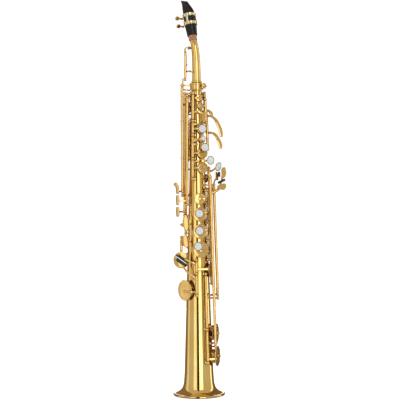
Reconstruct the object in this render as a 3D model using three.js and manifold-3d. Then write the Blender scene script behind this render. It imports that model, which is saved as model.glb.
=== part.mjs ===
// Soprano saxophone: straight conical body with a small curved neck, built as separate named pieces.
// Millimetres. The bell rim rests on z = 0, the body axis is +Z, the stack keys face -Y and the player's left hand is +X.
import * as THREE from "three";
import { mergeVertices } from "three/addons/utils/BufferGeometryUtils.js";
import Module from "manifold-3d";

const wasm = await Module();
wasm.setup();

// ---- driving dimensions -------------------------------------------------------------------------------------
const coneBase = 26.9; // outer radius that the cone would have at the bell rim
const coneSlope = 0.0332; // radius lost per millimetre of height
const wall = 1.3;
const bellTop = 52;
const tubeTop = 545;
const rimRadius = 46;
const receiverTop = 553;
const chimneyHeight = 2.4;
const lowChimneyHeight = 3.4;
const padGap = 0.35;
const cupDepth = 2.6;
const hingeRadius = 2.2;
const hingeBore = 1.45;
const steelRadius = 1.05;
const postRadius = 1.7;
const ballRadius = 2.7;
const gap = 0.4; // clearance between neighbouring pieces
const ribThickness = 1.4;
const neckTurn = 37; // degrees from the stack side to the neck's plane
const bodySides = 20;
const cupSides = 12;
const holeSides = 10;
const barSides = 6;

const deg = Math.PI / 180;
const up = new THREE.Vector3(0, 0, 1);

// ---- finishes ------------------------------------------------------------------------------------------------
const finish = (color, roughness, metalness) => () => new THREE.MeshStandardMaterial({ color, roughness, metalness });
const lacqueredBrass = finish(0xe8c66e, 0.18, 1);
const ebonite = finish(0x201b1f, 0.32, 0);
const neckCorkFinish = finish(0xa16746, 0.85, 0);
const cane = finish(0xd9c48a, 0.6, 0);
const pearl = finish(0xe2e4e6, 0.22, 0);
const blackResin = finish(0x111111, 0.35, 0);
const steel = finish(0xb8b8b4, 0.25, 1);

// ---- solids --------------------------------------------------------------------------------------------------
function solid(geometry) {
  const bare = geometry.index ? geometry.toNonIndexed() : geometry.clone();
  bare.deleteAttribute("normal");
  bare.deleteAttribute("uv");
  const merged = mergeVertices(bare, 1e-4);
  return new wasm.Manifold(
    new wasm.Mesh({
      numProp: 3,
      vertProperties: new Float32Array(merged.attributes.position.array),
      triVerts: new Uint32Array(merged.index.array),
    }),
  );
}

function join(...parts) {
  return parts.reduce((whole, part) => whole.add(part));
}

function geometryOf(made) {
  const mesh = made.getMesh();
  const geometry = new THREE.BufferGeometry();
  geometry.setAttribute("position", new THREE.BufferAttribute(new Float32Array(mesh.vertProperties), 3));
  geometry.setIndex(new THREE.BufferAttribute(new Uint32Array(mesh.triVerts), 1));
  geometry.computeVertexNormals();
  return geometry;
}

// A point at an angle round the body (0 faces the stack side, positive goes towards the player's left), a distance
// from the body axis and a height.
function at(angle, radius, z) {
  return new THREE.Vector3(radius * Math.sin(angle * deg), -radius * Math.cos(angle * deg), z);
}

function bodyRadius(z) {
  return coneBase - coneSlope * z;
}

// Moves a geometry that was drawn with x round the body, y up the body and z outwards to its place on the body.
function placed(geometry, angle, radius, z, facing = angle, roll = 0) {
  const out = at(facing, 1, 0);
  const round = new THREE.Vector3().crossVectors(up, out);
  const basis = new THREE.Matrix4().makeBasis(round, up, out).setPosition(at(angle, radius, z));
  return solid(geometry.rotateZ(roll * deg).applyMatrix4(basis));
}

// A solid of revolution about z from [radius, height] pairs, with the profile's first and last points on the axis
// or the profile closed on itself.
function turned(profile, sides = 16) {
  const points = profile.map(([radius, height]) => new THREE.Vector2(radius, height));
  return new THREE.LatheGeometry(points, sides).rotateX(90 * deg);
}

function ringProfile(outer, inner, low, high) {
  return [[inner, low], [outer, low], [outer, high], [inner, high], [inner, low]];
}

// A straight round bar between two points.
function bar(from, to, radius, sides = barSides) {
  const along = new THREE.Vector3().subVectors(to, from);
  const geometry = new THREE.CylinderGeometry(radius, radius, along.length(), sides);
  const turn = new THREE.Quaternion().setFromUnitVectors(new THREE.Vector3(0, 1, 0), along.normalize());
  const middle = new THREE.Vector3().addVectors(from, to).multiplyScalar(0.5);
  return solid(geometry.applyQuaternion(turn).translate(middle.x, middle.y, middle.z));
}

function ball(centre, radius) {
  return solid(new THREE.SphereGeometry(radius, 6, 3).translate(centre.x, centre.y, centre.z));
}

// A flat band that follows the body round from one angle to another at one height.
function band(fromAngle, toAngle, inner, outer, low, high) {
  const start = Math.min(fromAngle, toAngle) - 90;
  const end = Math.max(fromAngle, toAngle) - 90;
  const shape = new THREE.Shape();
  shape.absarc(0, 0, outer, start * deg, end * deg, false);
  shape.absarc(0, 0, inner, end * deg, start * deg, true);
  const steps = Math.max(3, Math.ceil((end - start) / 15));
  const geometry = new THREE.ExtrudeGeometry(shape, { depth: high - low, bevelEnabled: false, curveSegments: steps });
  return solid(geometry.translate(0, 0, low));
}

// A round-ended strip swept along a smooth curve through points.
function swept(points, halfWidth, halfThickness, steps = 6, sides = 3) {
  const section = new THREE.Shape();
  section.absellipse(0, 0, halfWidth, halfThickness, 0, 2 * Math.PI, false, 0);
  const geometry = new THREE.ExtrudeGeometry(section, {
    steps,
    curveSegments: sides,
    bevelEnabled: false,
    extrudePath: new THREE.CatmullRomCurve3(points),
  });
  return solid(geometry);
}

// A plate with a rounded outline, flat in x and y, with its back at z = 0.
function plate(shape, thickness, curveSegments = 6) {
  return new THREE.ExtrudeGeometry(shape, { depth: thickness, bevelEnabled: false, curveSegments });
}

function ovalShape(halfWidth, halfHeight) {
  const shape = new THREE.Shape();
  shape.absellipse(0, 0, halfWidth, halfHeight, 0, 2 * Math.PI, false, 0);
  return shape;
}

// ---- hinge lines ---------------------------------------------------------------------------------------------
// A hinge line follows the body at an angle; its distance from the axis changes evenly from its low to its high end.
const hingeLines = {
  upperStack: { angle: -22, low: 383, high: 534, lowRadius: 21.3, highRadius: 16.9 },
  lowerStack: { angle: 58, low: 240, high: 362, lowRadius: 25.4, highRadius: 21.4 },
  lowC: { angle: -6, low: 178, high: 240, lowRadius: 26.6, highRadius: 24.6 },
  bellKeys: { angle: 31, low: 60, high: 215, lowRadius: 31, highRadius: 25.6 },
  sideE: { angle: -78, low: 352, high: 549, lowRadius: 27, highRadius: 26.4 },
  sideC: { angle: -58, low: 336, high: 530, lowRadius: 22, highRadius: 19.5 },
  sideBb: { angle: -108, low: 316, high: 480, lowRadius: 24.5, highRadius: 20 },
  trill: { angle: -84, low: 250, high: 279.5, lowRadius: 30, highRadius: 29.2 },
  highFSharp: { angle: -124, low: 286, high: 536, lowRadius: 26, highRadius: 25 },
  palmD: { angle: 66, low: 482, high: 524, lowRadius: 17.8, highRadius: 16.6 },
  palmEb: { angle: 90, low: 436, high: 502, lowRadius: 19.2, highRadius: 17.2 },
  palmF: { angle: 122, low: 486, high: 536, lowRadius: 17.6, highRadius: 16.4 },
  gSharp: { angle: 88, low: 366, high: 402, lowRadius: 21.6, highRadius: 20.6 },
  lowCSharp: { angle: 118, low: 196, high: 364, lowRadius: 27.5, highRadius: 21.5 },
  bLever: { angle: 72, low: 172, high: 372, lowRadius: 36.4, highRadius: 30.6 },
  bbLever: { angle: 50, low: 88, high: 386, lowRadius: 38.6, highRadius: 29.8 },
  octave: { angle: 172, low: 466, high: 530, lowRadius: 18.6, highRadius: 16.6 },
};

function onLine(line, z) {
  const share = (z - line.low) / (line.high - line.low);
  return at(line.angle, THREE.MathUtils.lerp(line.lowRadius, line.highRadius, share), z);
}

function lineRadius(line, z) {
  const point = onLine(line, z);
  return Math.hypot(point.x, point.y);
}

function hingeTube(line, low, high) {
  return bar(onLine(line, low), onLine(line, high), hingeRadius);
}

// Clears the path of a steel rod through a key that turns on it.
function boredKey(line, low, high, ...pieces) {
  return join(hingeTube(line, low, high), ...pieces).subtract(bar(onLine(line, low - 9), onLine(line, high + 9), hingeBore));
}

// A ball-headed post that stands out from the body to its hinge line.
function post(line, z, foot, bored = false) {
  const head = onLine(line, z);
  const made = join(bar(at(line.angle, foot, z), head, postRadius), ball(head, ballRadius));
  return bored ? made.subtract(bar(onLine(line, z - 6), onLine(line, z + 6), hingeBore)) : made;
}

// A flat rib along the body under a hinge line, with its posts.
function ribWithPosts(line, postHeights, width) {
  const low = postHeights[0] - 4;
  const high = postHeights[postHeights.length - 1] + 4;
  const shape = new THREE.Shape();
  const foot = (z) => bodyRadius(z) + gap;
  shape.moveTo(foot(low), low);
  shape.lineTo(foot(low) + ribThickness, low);
  shape.lineTo(foot(high) + ribThickness, high);
  shape.lineTo(foot(high), high);
  const flat = new THREE.ExtrudeGeometry(shape, { depth: width, bevelEnabled: false }).translate(0, 0, -width / 2);
  const rib = solid(flat.rotateX(90 * deg).rotateZ((line.angle - 90) * deg));
  const posts = postHeights.map((z) => post(line, z, foot(z) + ribThickness / 2, true));
  return join(rib, ...posts);
}

// ---- tone holes and cups -------------------------------------------------------------------------------------
// Each cup covers one tone hole; height is the chimney's height over the body.
const cups = {
  fSharpVent: { angle: 9, z: 347.5, radius: 10, height: chimneyHeight },
  f: { angle: 10, z: 320, radius: 12.5, height: chimneyHeight },
  e: { angle: 10, z: 290, radius: 13, height: chimneyHeight },
  d: { angle: 11, z: 258, radius: 14, height: chimneyHeight },
  b: { angle: 32, z: 471, radius: 9, height: chimneyHeight },
  bis: { angle: 34, z: 452, radius: 5.8, height: chimneyHeight },
  a: { angle: 33, z: 428, radius: 9.6, height: chimneyHeight },
  g: { angle: 33, z: 402, radius: 9.6, height: chimneyHeight },
  gSharp: { angle: 128, z: 384, radius: 8, height: chimneyHeight },
  frontF: { angle: 14, z: 525.5, radius: 5.6, height: chimneyHeight },
  palmD: { angle: 30, z: 512, radius: 6, height: chimneyHeight },
  palmEb: { angle: 140, z: 474, radius: 6.4, height: chimneyHeight },
  palmF: { angle: 92, z: 530, radius: 5.2, height: chimneyHeight },
  sideE: { angle: -128, z: 515, radius: 6, height: chimneyHeight },
  sideC: { angle: -92, z: 505, radius: 6, height: chimneyHeight },
  sideBb: { angle: -146, z: 455, radius: 7, height: chimneyHeight },
  highFSharp: { angle: -152, z: 529, radius: 5, height: chimneyHeight },
  fSharpTrill: { angle: -128, z: 266, radius: 7.5, height: chimneyHeight },
  eFlat: { angle: 72, z: 222.5, radius: 12.8, height: chimneyHeight },
  lowC: { angle: -58, z: 186.5, radius: 18.2, height: lowChimneyHeight },
  lowCSharp: { angle: 160, z: 214, radius: 14.5, height: lowChimneyHeight },
  lowB: { angle: 86, z: 109, radius: 17.4, height: lowChimneyHeight, armReach: 13.5 },
  lowBb: { angle: 84, z: 69, radius: 18, height: lowChimneyHeight },
};

const chimneyShare = 0.72; // chimney radius over cup radius
const cupTop = (cup) => bodyRadius(cup.z) + cup.height + padGap + cupDepth;

function chimney(cup) {
  const radius = cup.radius * chimneyShare;
  const inside = bodyRadius(cup.z) * 0.5;
  const top = bodyRadius(cup.z) + cup.height;
  const tube = turned([[0, inside], [radius, inside], [radius, top], [0, top]], holeSides);
  return placed(tube, cup.angle, 0, cup.z);
}

function toneHole(cup) {
  const radius = cup.radius * chimneyShare - 1.1;
  const reach = bodyRadius(cup.z) + cup.height + 5;
  return placed(turned([[0, 2], [radius, 2], [radius, reach], [0, reach]], holeSides), cup.angle, 0, cup.z);
}

// A pad cup: a shallow dished lid with its rim over the chimney.
function cupLid(cup) {
  const low = bodyRadius(cup.z) + cup.height + padGap;
  const edge = cup.radius;
  const profile = [
    [0, low],
    [edge, low],
    [edge, low + cupDepth - 0.9],
    [edge * 0.86, low + cupDepth],
    [0, low + cupDepth],
  ];
  return placed(turned(profile, cupSides), cup.angle, 0, cup.z);
}

// ---- fixed body ----------------------------------------------------------------------------------------------
const bodyPosts = {
  sideE: [354],
  sideC: [338, 530],
  sideBb: [318, 480],
  trill: [250, 279.5],
  highFSharp: [286, 536],
  palmD: [482, 524],
  palmEb: [436, 502],
  palmF: [486, 536],
  gSharp: [366, 402],
  lowCSharp: [196, 364],
  bLever: [172, 372],
  bbLever: [88, 386],
  octave: [466, 530],
};

function bodyTube() {
  const low = bellTop + gap;
  const outer = solid(turned([[0, low], [bodyRadius(low), low], [bodyRadius(tubeTop), tubeTop], [0, tubeTop]], bodySides));
  const boreLow = bodyRadius(low) - wall;
  const boreHigh = bodyRadius(tubeTop) - wall;
  const bore = solid(turned([[0, low - 5], [boreLow, low - 5], [boreHigh, tubeTop + 5], [0, tubeTop + 5]], bodySides));
  const chimneys = Object.values(cups).map(chimney);
  const posts = Object.entries(bodyPosts).flatMap(([name, heights]) =>
    heights.map((z) => post(hingeLines[name], z, bodyRadius(z) - 0.8)),
  );
  const whole = join(outer, ...chimneys, ...posts).subtract(bore);
  return Object.values(cups).reduce((tube, cup) => tube.subtract(toneHole(cup)), whole);
}

// The flare: outside down to the rolled rim, then back up the inside.
function bell() {
  const inside = [[bodyRadius(bellTop) - wall, bellTop], [24.9, 30], [26.9, 16.4], [31.6, 7.8], [38.4, 4], [42.6, 1.4]];
  const rim = [[43.4, 0], [45.2, 0], [rimRadius, 1.3], [rimRadius, 3], [45.2, 4.4]];
  const outside = [[39, 5.6], [32.5, 9.5], [28.2, 17], [26.2, 30], [bodyRadius(bellTop), bellTop]];
  return solid(turned([...inside, ...rim, ...outside, inside[0]], 28));
}

function neckReceiver() {
  const seat = bodyRadius(tubeTop) + 0.35;
  const low = 540;
  const profile = [
    [seat + 0.25, low], [11.4, low], [12, low + 1.5], [12, receiverTop - 1.5], [11.4, receiverTop],
    [seat, receiverTop], [seat + 0.25, low],
  ];
  const lug = placed(new THREE.BoxGeometry(3, 6.4, 9), 98, 13.6, receiverTop - 5, 80);
  const otherLug = placed(new THREE.BoxGeometry(3, 6.4, 9), 62, 13.6, receiverTop - 5, 80);
  const sidePost = post(hingeLines.sideE, hingeLines.sideE.high, 10.5);
  return join(solid(turned(profile, bodySides)), lug, otherLug, sidePost).subtract(neckScrewShank(1.7, 24));
}

// The lock screw's shank lies across the receiver's two lugs.
function neckScrewShank(radius, length) {
  const across = new THREE.CylinderGeometry(radius, radius, length, 8).rotateZ(90 * deg);
  return placed(across, 80, 15.8, receiverTop - 5);
}

function neckScrew() {
  const head = new THREE.CylinderGeometry(3, 3, 5, 10).rotateZ(90 * deg).translate(-10.6, 0, 0);
  return join(neckScrewShank(1.2, 18), placed(head, 80, 15.8, receiverTop - 5));
}

function thumbRest() {
  const z = 410;
  const profile = [[0, 0], [4, 0], [4, 2.4], [8, 3], [8, 5], [0, 5.6]];
  return placed(turned(profile, cupSides), 180, bodyRadius(z) + gap, z);
}

function thumbHook() {
  const z = 262;
  const foot = bodyRadius(z) + gap;
  const base = placed(new THREE.BoxGeometry(11, 26, 2.2), 180, foot + 1.1, z);
  const path = [at(180, foot + 1.5, z - 6), at(181, foot + 9, z - 5), at(182, foot + 16, z + 2), at(182, foot + 18, z + 10)];
  return join(base, swept(path, 5, 1.3, 8));
}

function strapRing() {
  const z = 345;
  const foot = bodyRadius(z) + gap;
  const base = placed(new THREE.BoxGeometry(8, 14, 2), 180, foot + 1, z);
  const hoop = new THREE.TorusGeometry(5, 1.3, 6, 12).rotateY(90 * deg).translate(0, 0, 6);
  return join(base, placed(hoop, 180, foot, z));
}

function hingeRod(line, low, high) {
  return bar(onLine(line, low), onLine(line, high), steelRadius);
}

// ---- key pieces ----------------------------------------------------------------------------------------------
const armWidth = 3.4;
const armThickness = 2;
const pearlRadius = 6.8;
const holderLift = 0.8;

// A flat strip between two points at one height, each given as a distance round the cup and out from the axis.
function strip(cup, from, to, z) {
  const along = Math.hypot(to[0] - from[0], to[1] - from[1]);
  const turn = Math.atan2(from[1] - to[1], to[0] - from[0]);
  const box = new THREE.BoxGeometry(along + armThickness * 0.6, armWidth, armThickness).rotateY(turn);
  return placed(box.translate((from[0] + to[0]) / 2, 0, (from[1] + to[1]) / 2), cup.angle, 0, z);
}

// The arm that ties a cup to its hinge tube: along the cup's top to past its edge, then down to the tube.
function cupArm(line, cup, z) {
  const side = Math.sign(line.angle - cup.angle);
  const apart = (line.angle - cup.angle) * deg;
  const reach = lineRadius(line, z);
  const hinge = [reach * Math.sin(apart), reach * Math.cos(apart)];
  const top = cupTop(cup) + 0.3;
  const bend = [side * Math.min(cup.armReach ?? cup.radius + 1.2, Math.abs(hinge[0])), top];
  return join(strip(cup, [0, top], bend, z), strip(cup, bend, hinge, z));
}

// A shallow brass holder for a pearl, with its back at the given distance from the body axis.
function pearlHolder(angle, radius, z, facing = angle, size = pearlRadius) {
  const profile = [[0, -1], [size * 0.8, -1], [size + 1, 0], [size + 1, 1.9], [size + 0.35, 1.9], [size + 0.35, 0.7], [0, 0.7]];
  return placed(turned(profile, cupSides), angle, radius, z, facing);
}

function pearlDisc(angle, radius, z, facing = angle, size = pearlRadius) {
  const profile = [[0, 1.05], [size, 1.05], [size, 1.7], [size * 0.75, 2.5], [0, 2.9]];
  return placed(turned(profile, cupSides), angle, radius, z, facing);
}

// A rounded paddle touch that faces outwards.
function paddle(angle, radius, z, halfWidth, halfHeight, facing = angle, roll = 0) {
  return placed(plate(ovalShape(halfWidth, halfHeight), 1.6, 6), angle, radius, z, facing, roll);
}

// ---- keys ----------------------------------------------------------------------------------------------------
// Each key is drawn closed, in place, and turned about its hinge line by its rest angle, which opens it.
const group = new THREE.Group();
const stackOpen = 8;
const lowKeyOpen = 9;

function addMesh(parent, name, made, material) {
  const mesh = new THREE.Mesh(geometryOf(made), material());
  mesh.name = name;
  parent.add(mesh);
  return mesh;
}

// Adds one key's pieces in a group that stands on the low end of its hinge line.
function addKey(line, restAngle, pieces) {
  const pivot = onLine(line, line.low);
  const axis = new THREE.Vector3().subVectors(onLine(line, line.high), pivot).normalize();
  const key = new THREE.Group();
  key.position.copy(pivot);
  key.quaternion.setFromAxisAngle(axis, restAngle * deg);
  for (const [name, made, material] of pieces)
    addMesh(key, name, made, material).geometry.translate(-pivot.x, -pivot.y, -pivot.z);
  group.add(key);
}

// Turns a geometry back by a key's rest angle, so that it stands where it was drawn when the key is at rest.
function drawnAtRest(made, line, restAngle) {
  const pivot = onLine(line, line.low);
  const axis = new THREE.Vector3().subVectors(onLine(line, line.high), pivot).normalize();
  const back = new THREE.Matrix4().makeRotationAxis(axis, -restAngle * deg);
  const geometry = geometryOf(made).translate(-pivot.x, -pivot.y, -pivot.z).applyMatrix4(back);
  return solid(geometry.translate(pivot.x, pivot.y, pivot.z));
}

// A stack key with a pearl over its cup.
function addPearlKey(name, line, cup, low, high, pearlShift, opening) {
  const z = cup.z;
  const holderRadius = cupTop(cup) + holderLift;
  const facing = cup.angle;
  const angle = cup.angle + pearlShift.round;
  const pearlZ = z + pearlShift.up;
  const brass = boredKey(
    line, low, high,
    cupLid(cup),
    cupArm(line, cup, z + pearlShift.arm),
    pearlHolder(angle, holderRadius, pearlZ, facing),
  );
  addKey(line, opening, [
    [name + "_key", brass, lacqueredBrass],
    [name + "_pearl", pearlDisc(angle, holderRadius, pearlZ, facing), pearl],
  ]);
}

// A key whose touch and cup share one hinge tube.
function addPlainKey(name, line, cup, low, high, opening, touch, armHeight = cup.z, bored = false, others = []) {
  const pieces = [cupLid(cup), cupArm(line, cup, armHeight), ...touch];
  const brass = bored ? boredKey(line, low, high, ...pieces) : join(hingeTube(line, low, high), ...pieces);
  addKey(line, opening, [[name, brass, lacqueredBrass], ...others]);
}

function lowerStackKeys() {
  const line = hingeLines.lowerStack;
  addPlainKey("f_sharp_vent_key", line, cups.fSharpVent, 338.1, 358.9, stackOpen, [], cups.fSharpVent.z, true);
  addPearlKey("f", line, cups.f, 307.9, 331.9, { round: -3, up: 1, arm: 3 }, stackOpen);
  addPearlKey("e", line, cups.e, 277.1, 301.7, { round: -3, up: 1, arm: 3 }, stackOpen);
  addPearlKey("d", line, cups.d, 243.1, 270.9, { round: -13, up: 5, arm: -2 }, stackOpen);
}

function upperStackKeys() {
  const line = hingeLines.upperStack;
  addPearlKey("b", line, cups.b, 463.1, 481.9, { round: 0, up: 0, arm: 0 }, -stackOpen);
  const bisHolder = cupTop(cups.bis) + holderLift;
  addKey(line, -stackOpen, [[
    "bis_key",
    boredKey(
      line, 447.4, 456.9,
      cupLid(cups.bis),
      cupArm(line, cups.bis, cups.bis.z),
      placed(turned([[0, -2], [4.6, -2], [5, 0], [5, 1], [3, 1.6], [0, 1.8]], cupSides), cups.bis.angle, bisHolder + 0.6, 454),
    ),
    lacqueredBrass,
  ]]);
  const aPearl = { angle: 39, radius: cupTop(cups.a) + 3.2, z: 438 };
  addKey(line, -stackOpen, [
    ["a_key", boredKey(
      line, 421.1, 446.6,
      cupLid(cups.a),
      cupArm(line, cups.a, cups.a.z),
      bar(at(33, cupTop(cups.a) - 0.5, 431), at(38, aPearl.radius - 1.8, 437), 2.2),
      pearlHolder(aPearl.angle, aPearl.radius, aPearl.z),
    ), lacqueredBrass],
    ["a_pearl", pearlDisc(aPearl.angle, aPearl.radius, aPearl.z), pearl],
  ]);
  const gPearl = { angle: 56, radius: 27.5, z: 415, facing: 42 };
  addKey(line, -stackOpen, [
    ["g_key", boredKey(
      line, 386.1, 414.9,
      cupLid(cups.g),
      cupArm(line, cups.g, cups.g.z),
      swept([at(-22, 20.6, 412), at(0, 22.5, 413.5), at(25, 24.5, 414), at(48, 26, 414.5), at(56, 26.4, 415)], 1.6, 1.2),
      pearlHolder(gPearl.angle, gPearl.radius, gPearl.z, gPearl.facing),
    ), lacqueredBrass],
    ["g_pearl", pearlDisc(gPearl.angle, gPearl.radius, gPearl.z, gPearl.facing), pearl],
  ]);
  const frontTouch = [
    swept([at(-22, 17.6, 500), at(5, 19, 501), at(28, 19.8, 499), at(36, 20.2, 496)], 1.5, 1.1),
    paddle(37, 19.6, 491.5, 3.9, 9.6),
  ];
  addPlainKey("front_f_key", line, cups.frontF, 488.1, 530.9, 0, frontTouch, cups.frontF.z, true);
}

function palmKeys() {
  const touchD = swept([at(66, 17.5, 492), at(64, 29, 491), at(63, 40, 476), at(64, 46.5, 455)], 4.2, 1.2, 8);
  addPlainKey("palm_d_key", hingeLines.palmD, cups.palmD, 485.2, 520.8, 0, [touchD]);
  const touchEb = swept([at(90, 18, 463), at(84, 27, 463), at(81, 36.5, 453), at(80, 41.5, 436)], 4, 1.2, 8);
  addPlainKey("palm_e_flat_key", hingeLines.palmEb, cups.palmEb, 439.2, 498.8, 0, [touchEb]);
  const touchF = swept([at(122, 17, 505), at(108, 23, 506), at(99, 26.5, 501), at(97, 28, 492)], 3.6, 1.2, 8);
  addPlainKey("palm_f_key", hingeLines.palmF, cups.palmF, 489.2, 532.8, 0, [touchF]);
}

// A side-key touch: a rounded upright bar beyond its hinge line, on a short arm.
function sideTouch(line, z, halfHeight, armHeight, flare = 0) {
  const x = -35;
  const y = -14;
  const path = [
    new THREE.Vector3(x - flare, y, z + halfHeight),
    new THREE.Vector3(x - flare * 0.3, y, z + halfHeight * 0.6),
    new THREE.Vector3(x, y, z),
    new THREE.Vector3(x, y, z - halfHeight),
  ];
  const arm = bar(onLine(line, armHeight), new THREE.Vector3(x, y, armHeight), 1.5);
  return [swept(path, 2, 3.6, 6), arm];
}

function sideKeys() {
  addPlainKey("side_e_key", hingeLines.sideE, cups.sideE, 357.2, 545.8, 0, sideTouch(hingeLines.sideE, 366, 9.4, 361, 6));
  addPlainKey("side_c_key", hingeLines.sideC, cups.sideC, 341.2, 526.8, 0, sideTouch(hingeLines.sideC, 345.6, 8.8, 344));
  addPlainKey("side_b_flat_key", hingeLines.sideBb, cups.sideBb, 321.2, 476.8, 0, sideTouch(hingeLines.sideBb, 325, 8.8, 325));
}

// Two rocking keys beside the lower stack: pressing the paddle lifts the cup on the other side of the hinge. The
// upper one reaches its cup at the top of the body with a long tube.
function trillKeys() {
  const longLine = hingeLines.highFSharp;
  const highTouch = [
    swept([onLine(longLine, 299), at(-105, 29, 300), at(-80, 30.5, 302), at(-60, 28.5, 304), at(-50, 26.4, 304)], 1.6, 1.3, 8),
    paddle(-49, 25.6, 305, 5, 14.2, -32, 4),
  ];
  addPlainKey("high_f_sharp_key", longLine, cups.highFSharp, 289.2, 532.8, 0, highTouch);
  const trillTouch = [
    bar(onLine(hingeLines.trill, 271), at(-52, 27.6, 274), 1.5),
    paddle(-50, 26.8, 273, 4.8, 11.4, -32, 10),
  ];
  addPlainKey("f_sharp_trill_key", hingeLines.trill, cups.fSharpTrill, 253.2, 276.2, 0, trillTouch);
}

// ---- little-finger keys of the right hand --------------------------------------------------------------------
const discCentre = { angle: -60, radius: 33.5, z: 240 };
const discRadius = 14.3;
const discFacing = -25;
const discRoll = -34; // slope of the line between the two touches
const smallRollerRadius = 2;
const rollerHalfLength = 8;

// One half of the round touch, with a straight edge along its roller.
function halfDisc(side) {
  const shape = new THREE.Shape();
  const edge = 0.35;
  const swing = Math.acos(edge / discRadius);
  shape.absarc(0, 0, discRadius, Math.PI / 2 - swing, Math.PI / 2 + swing, false);
  shape.closePath();
  const slot = new THREE.BoxGeometry(2 * rollerHalfLength + 1.2, 2 * smallRollerRadius + 1.2, 8).translate(0, 3, 0);
  const half = placed(plate(shape, 2.2, 8), discCentre.angle, discCentre.radius, discCentre.z, discFacing, discRoll + side);
  return half.subtract(
    placed(slot, discCentre.angle, discCentre.radius, discCentre.z, discFacing, discRoll + side),
  );
}

function discRoller(side) {
  const roller = new THREE.CylinderGeometry(smallRollerRadius, smallRollerRadius, 2 * rollerHalfLength, 10);
  roller.rotateZ(90 * deg).translate(0, 3, 1.3);
  return placed(roller, discCentre.angle, discCentre.radius, discCentre.z, discFacing, discRoll + side);
}

function rightLittleFingerKeys() {
  const line = hingeLines.lowC;
  const eFlatTouch = [halfDisc(0), swept([at(-6, 25.2, 232), at(-22, 29, 236), at(-38, 31.5, 240), at(-46, 32.4, 242)], 1.7, 1.2)];
  addPlainKey("e_flat_key", line, cups.eFlat, 219.1, 236.9, 0, eFlatTouch, 223.7, true, [
    ["e_flat_roller", discRoller(0), blackResin],
  ]);
  const lowCTouch = [halfDisc(180), swept([at(-6, 25.8, 206), at(-24, 29.5, 213), at(-40, 32, 221), at(-52, 32.4, 228)], 1.7, 1.2)];
  const lowCTouchAtRest = lowCTouch.map((piece) => drawnAtRest(piece, line, lowKeyOpen));
  addPlainKey("low_c_key", line, cups.lowC, 181.1, 212.7, lowKeyOpen, lowCTouchAtRest, 184.6, true, [
    ["low_c_roller", drawnAtRest(discRoller(180), line, lowKeyOpen), blackResin],
  ]);
}

// ---- little-finger keys of the left hand ---------------------------------------------------------------------
const tableFacing = 40;

// A flat touch of the left little-finger table; x and z place its centre in the stack-side view.
function tableTouch(outline, x, y, z) {
  const shape = new THREE.Shape(outline.map(([u, v]) => new THREE.Vector2(u, v)));
  const angle = Math.atan2(x, -y) / deg;
  return placed(plate(shape, 2), angle, Math.hypot(x, y), z, tableFacing);
}

function tableRoller(from, to) {
  return bar(new THREE.Vector3(...from), new THREE.Vector3(...to), 1.7, 10);
}

function leftLittleFingerKeys() {
  const oval = (profile) => placed(turned(profile, cupSides).scale(0.75, 1.25, 1), 68, 39.5, 404, 48, -42);
  const gSharpTouch = [
    swept([onLine(hingeLines.gSharp, 396), at(80, 28, 398), at(72, 34, 402), at(69, 38, 404)], 1.7, 1.2),
    oval([[0, -1], [6, -1], [7.2, 0], [7.2, 1.9], [6.5, 1.9], [6.5, 0.7], [0, 0.7]]),
  ];
  addPlainKey("g_sharp_key", hingeLines.gSharp, cups.gSharp, 369.2, 398.8, 0, gSharpTouch, cups.gSharp.z, false, [
    ["g_sharp_pearl", oval([[0, 1.1], [6.1, 1.1], [6.1, 1.9], [4.6, 2.7], [0, 3]]), pearl],
  ]);

  const cSharpTouch = [
    swept([onLine(hingeLines.lowCSharp, 352), at(110, 28, 364), at(98, 31, 379), at(84, 34, 384), at(76.7, 35.1, 388)], 1.8, 1.4, 8),
    tableTouch([[-2.4, -7], [3, -9], [4, 3], [-1, 8], [-2.4, 6]], 33.8, -7.6, 388),
  ];
  addPlainKey("low_c_sharp_key", hingeLines.lowCSharp, cups.lowCSharp, 199.2, 360.8, 0, cSharpTouch);

  const bTouch = join(
    hingeTube(hingeLines.bLever, 175.2, 368.8),
    swept([onLine(hingeLines.bLever, 362), at(77, 36, 364), at(80, 41.8, 374), at(73, 46.6, 387)], 1.8, 1.4, 8),
    tableTouch([[-4.2, -4], [6, 1], [4, 16], [-1, 14], [-4.2, 4]], 44.4, -14.4, 385.5),
    band(72, 88, 34, 37.4, 177, 180),
  );
  addKey(hingeLines.bLever, 0, [
    ["low_b_lever", bTouch, lacqueredBrass],
    ["low_b_roller", tableRoller([38.6, -11.4, 386], [38.6, -11.4, 395]), blackResin],
  ]);
  const bFlatTouch = join(
    hingeTube(hingeLines.bbLever, 91.2, 382.8),
    swept([onLine(hingeLines.bbLever, 356), at(55, 34, 358), at(64, 40.5, 363), at(69, 45, 370)], 1.8, 1.4, 8),
    tableTouch([[-11, 0], [-4, -4.4], [5, -4.4], [9, -1], [9.5, 3], [0, 3]], 42.5, -16, 370),
    band(50, 62, 36, 39.4, 92.4, 95.2),
  );
  addKey(hingeLines.bbLever, 0, [
    ["low_b_flat_lever", bFlatTouch, lacqueredBrass],
    ["low_b_flat_roller", tableRoller([37, -23.2, 375.4], [48.4, -13.6, 381]), blackResin],
  ]);
}

// ---- bell keys -----------------------------------------------------------------------------------------------
function bellKeys() {
  const line = hingeLines.bellKeys;
  const bLink = [band(31, 40, 26, 32.4, 176.6, 180.4), band(38, 86, 29.8, 32.4, 176.6, 180.4)];
  const bFlatLink = [band(31, 60, 30, 33.4, 92, 95.6)];
  const bArm = [...bLink.map((piece) => drawnAtRest(piece, line, -lowKeyOpen)), cupSpike(cups.lowB)];
  addPlainKey("low_b_key", line, cups.lowB, 121.2, 211.8, -lowKeyOpen, bArm, 123.4, true);
  const bFlatArm = [...bFlatLink.map((piece) => drawnAtRest(piece, line, -lowKeyOpen)), cupSpike(cups.lowBb)];
  addPlainKey("low_b_flat_key", line, cups.lowBb, 63.2, 114.6, -lowKeyOpen, bFlatArm, 66, true);
}

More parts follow.
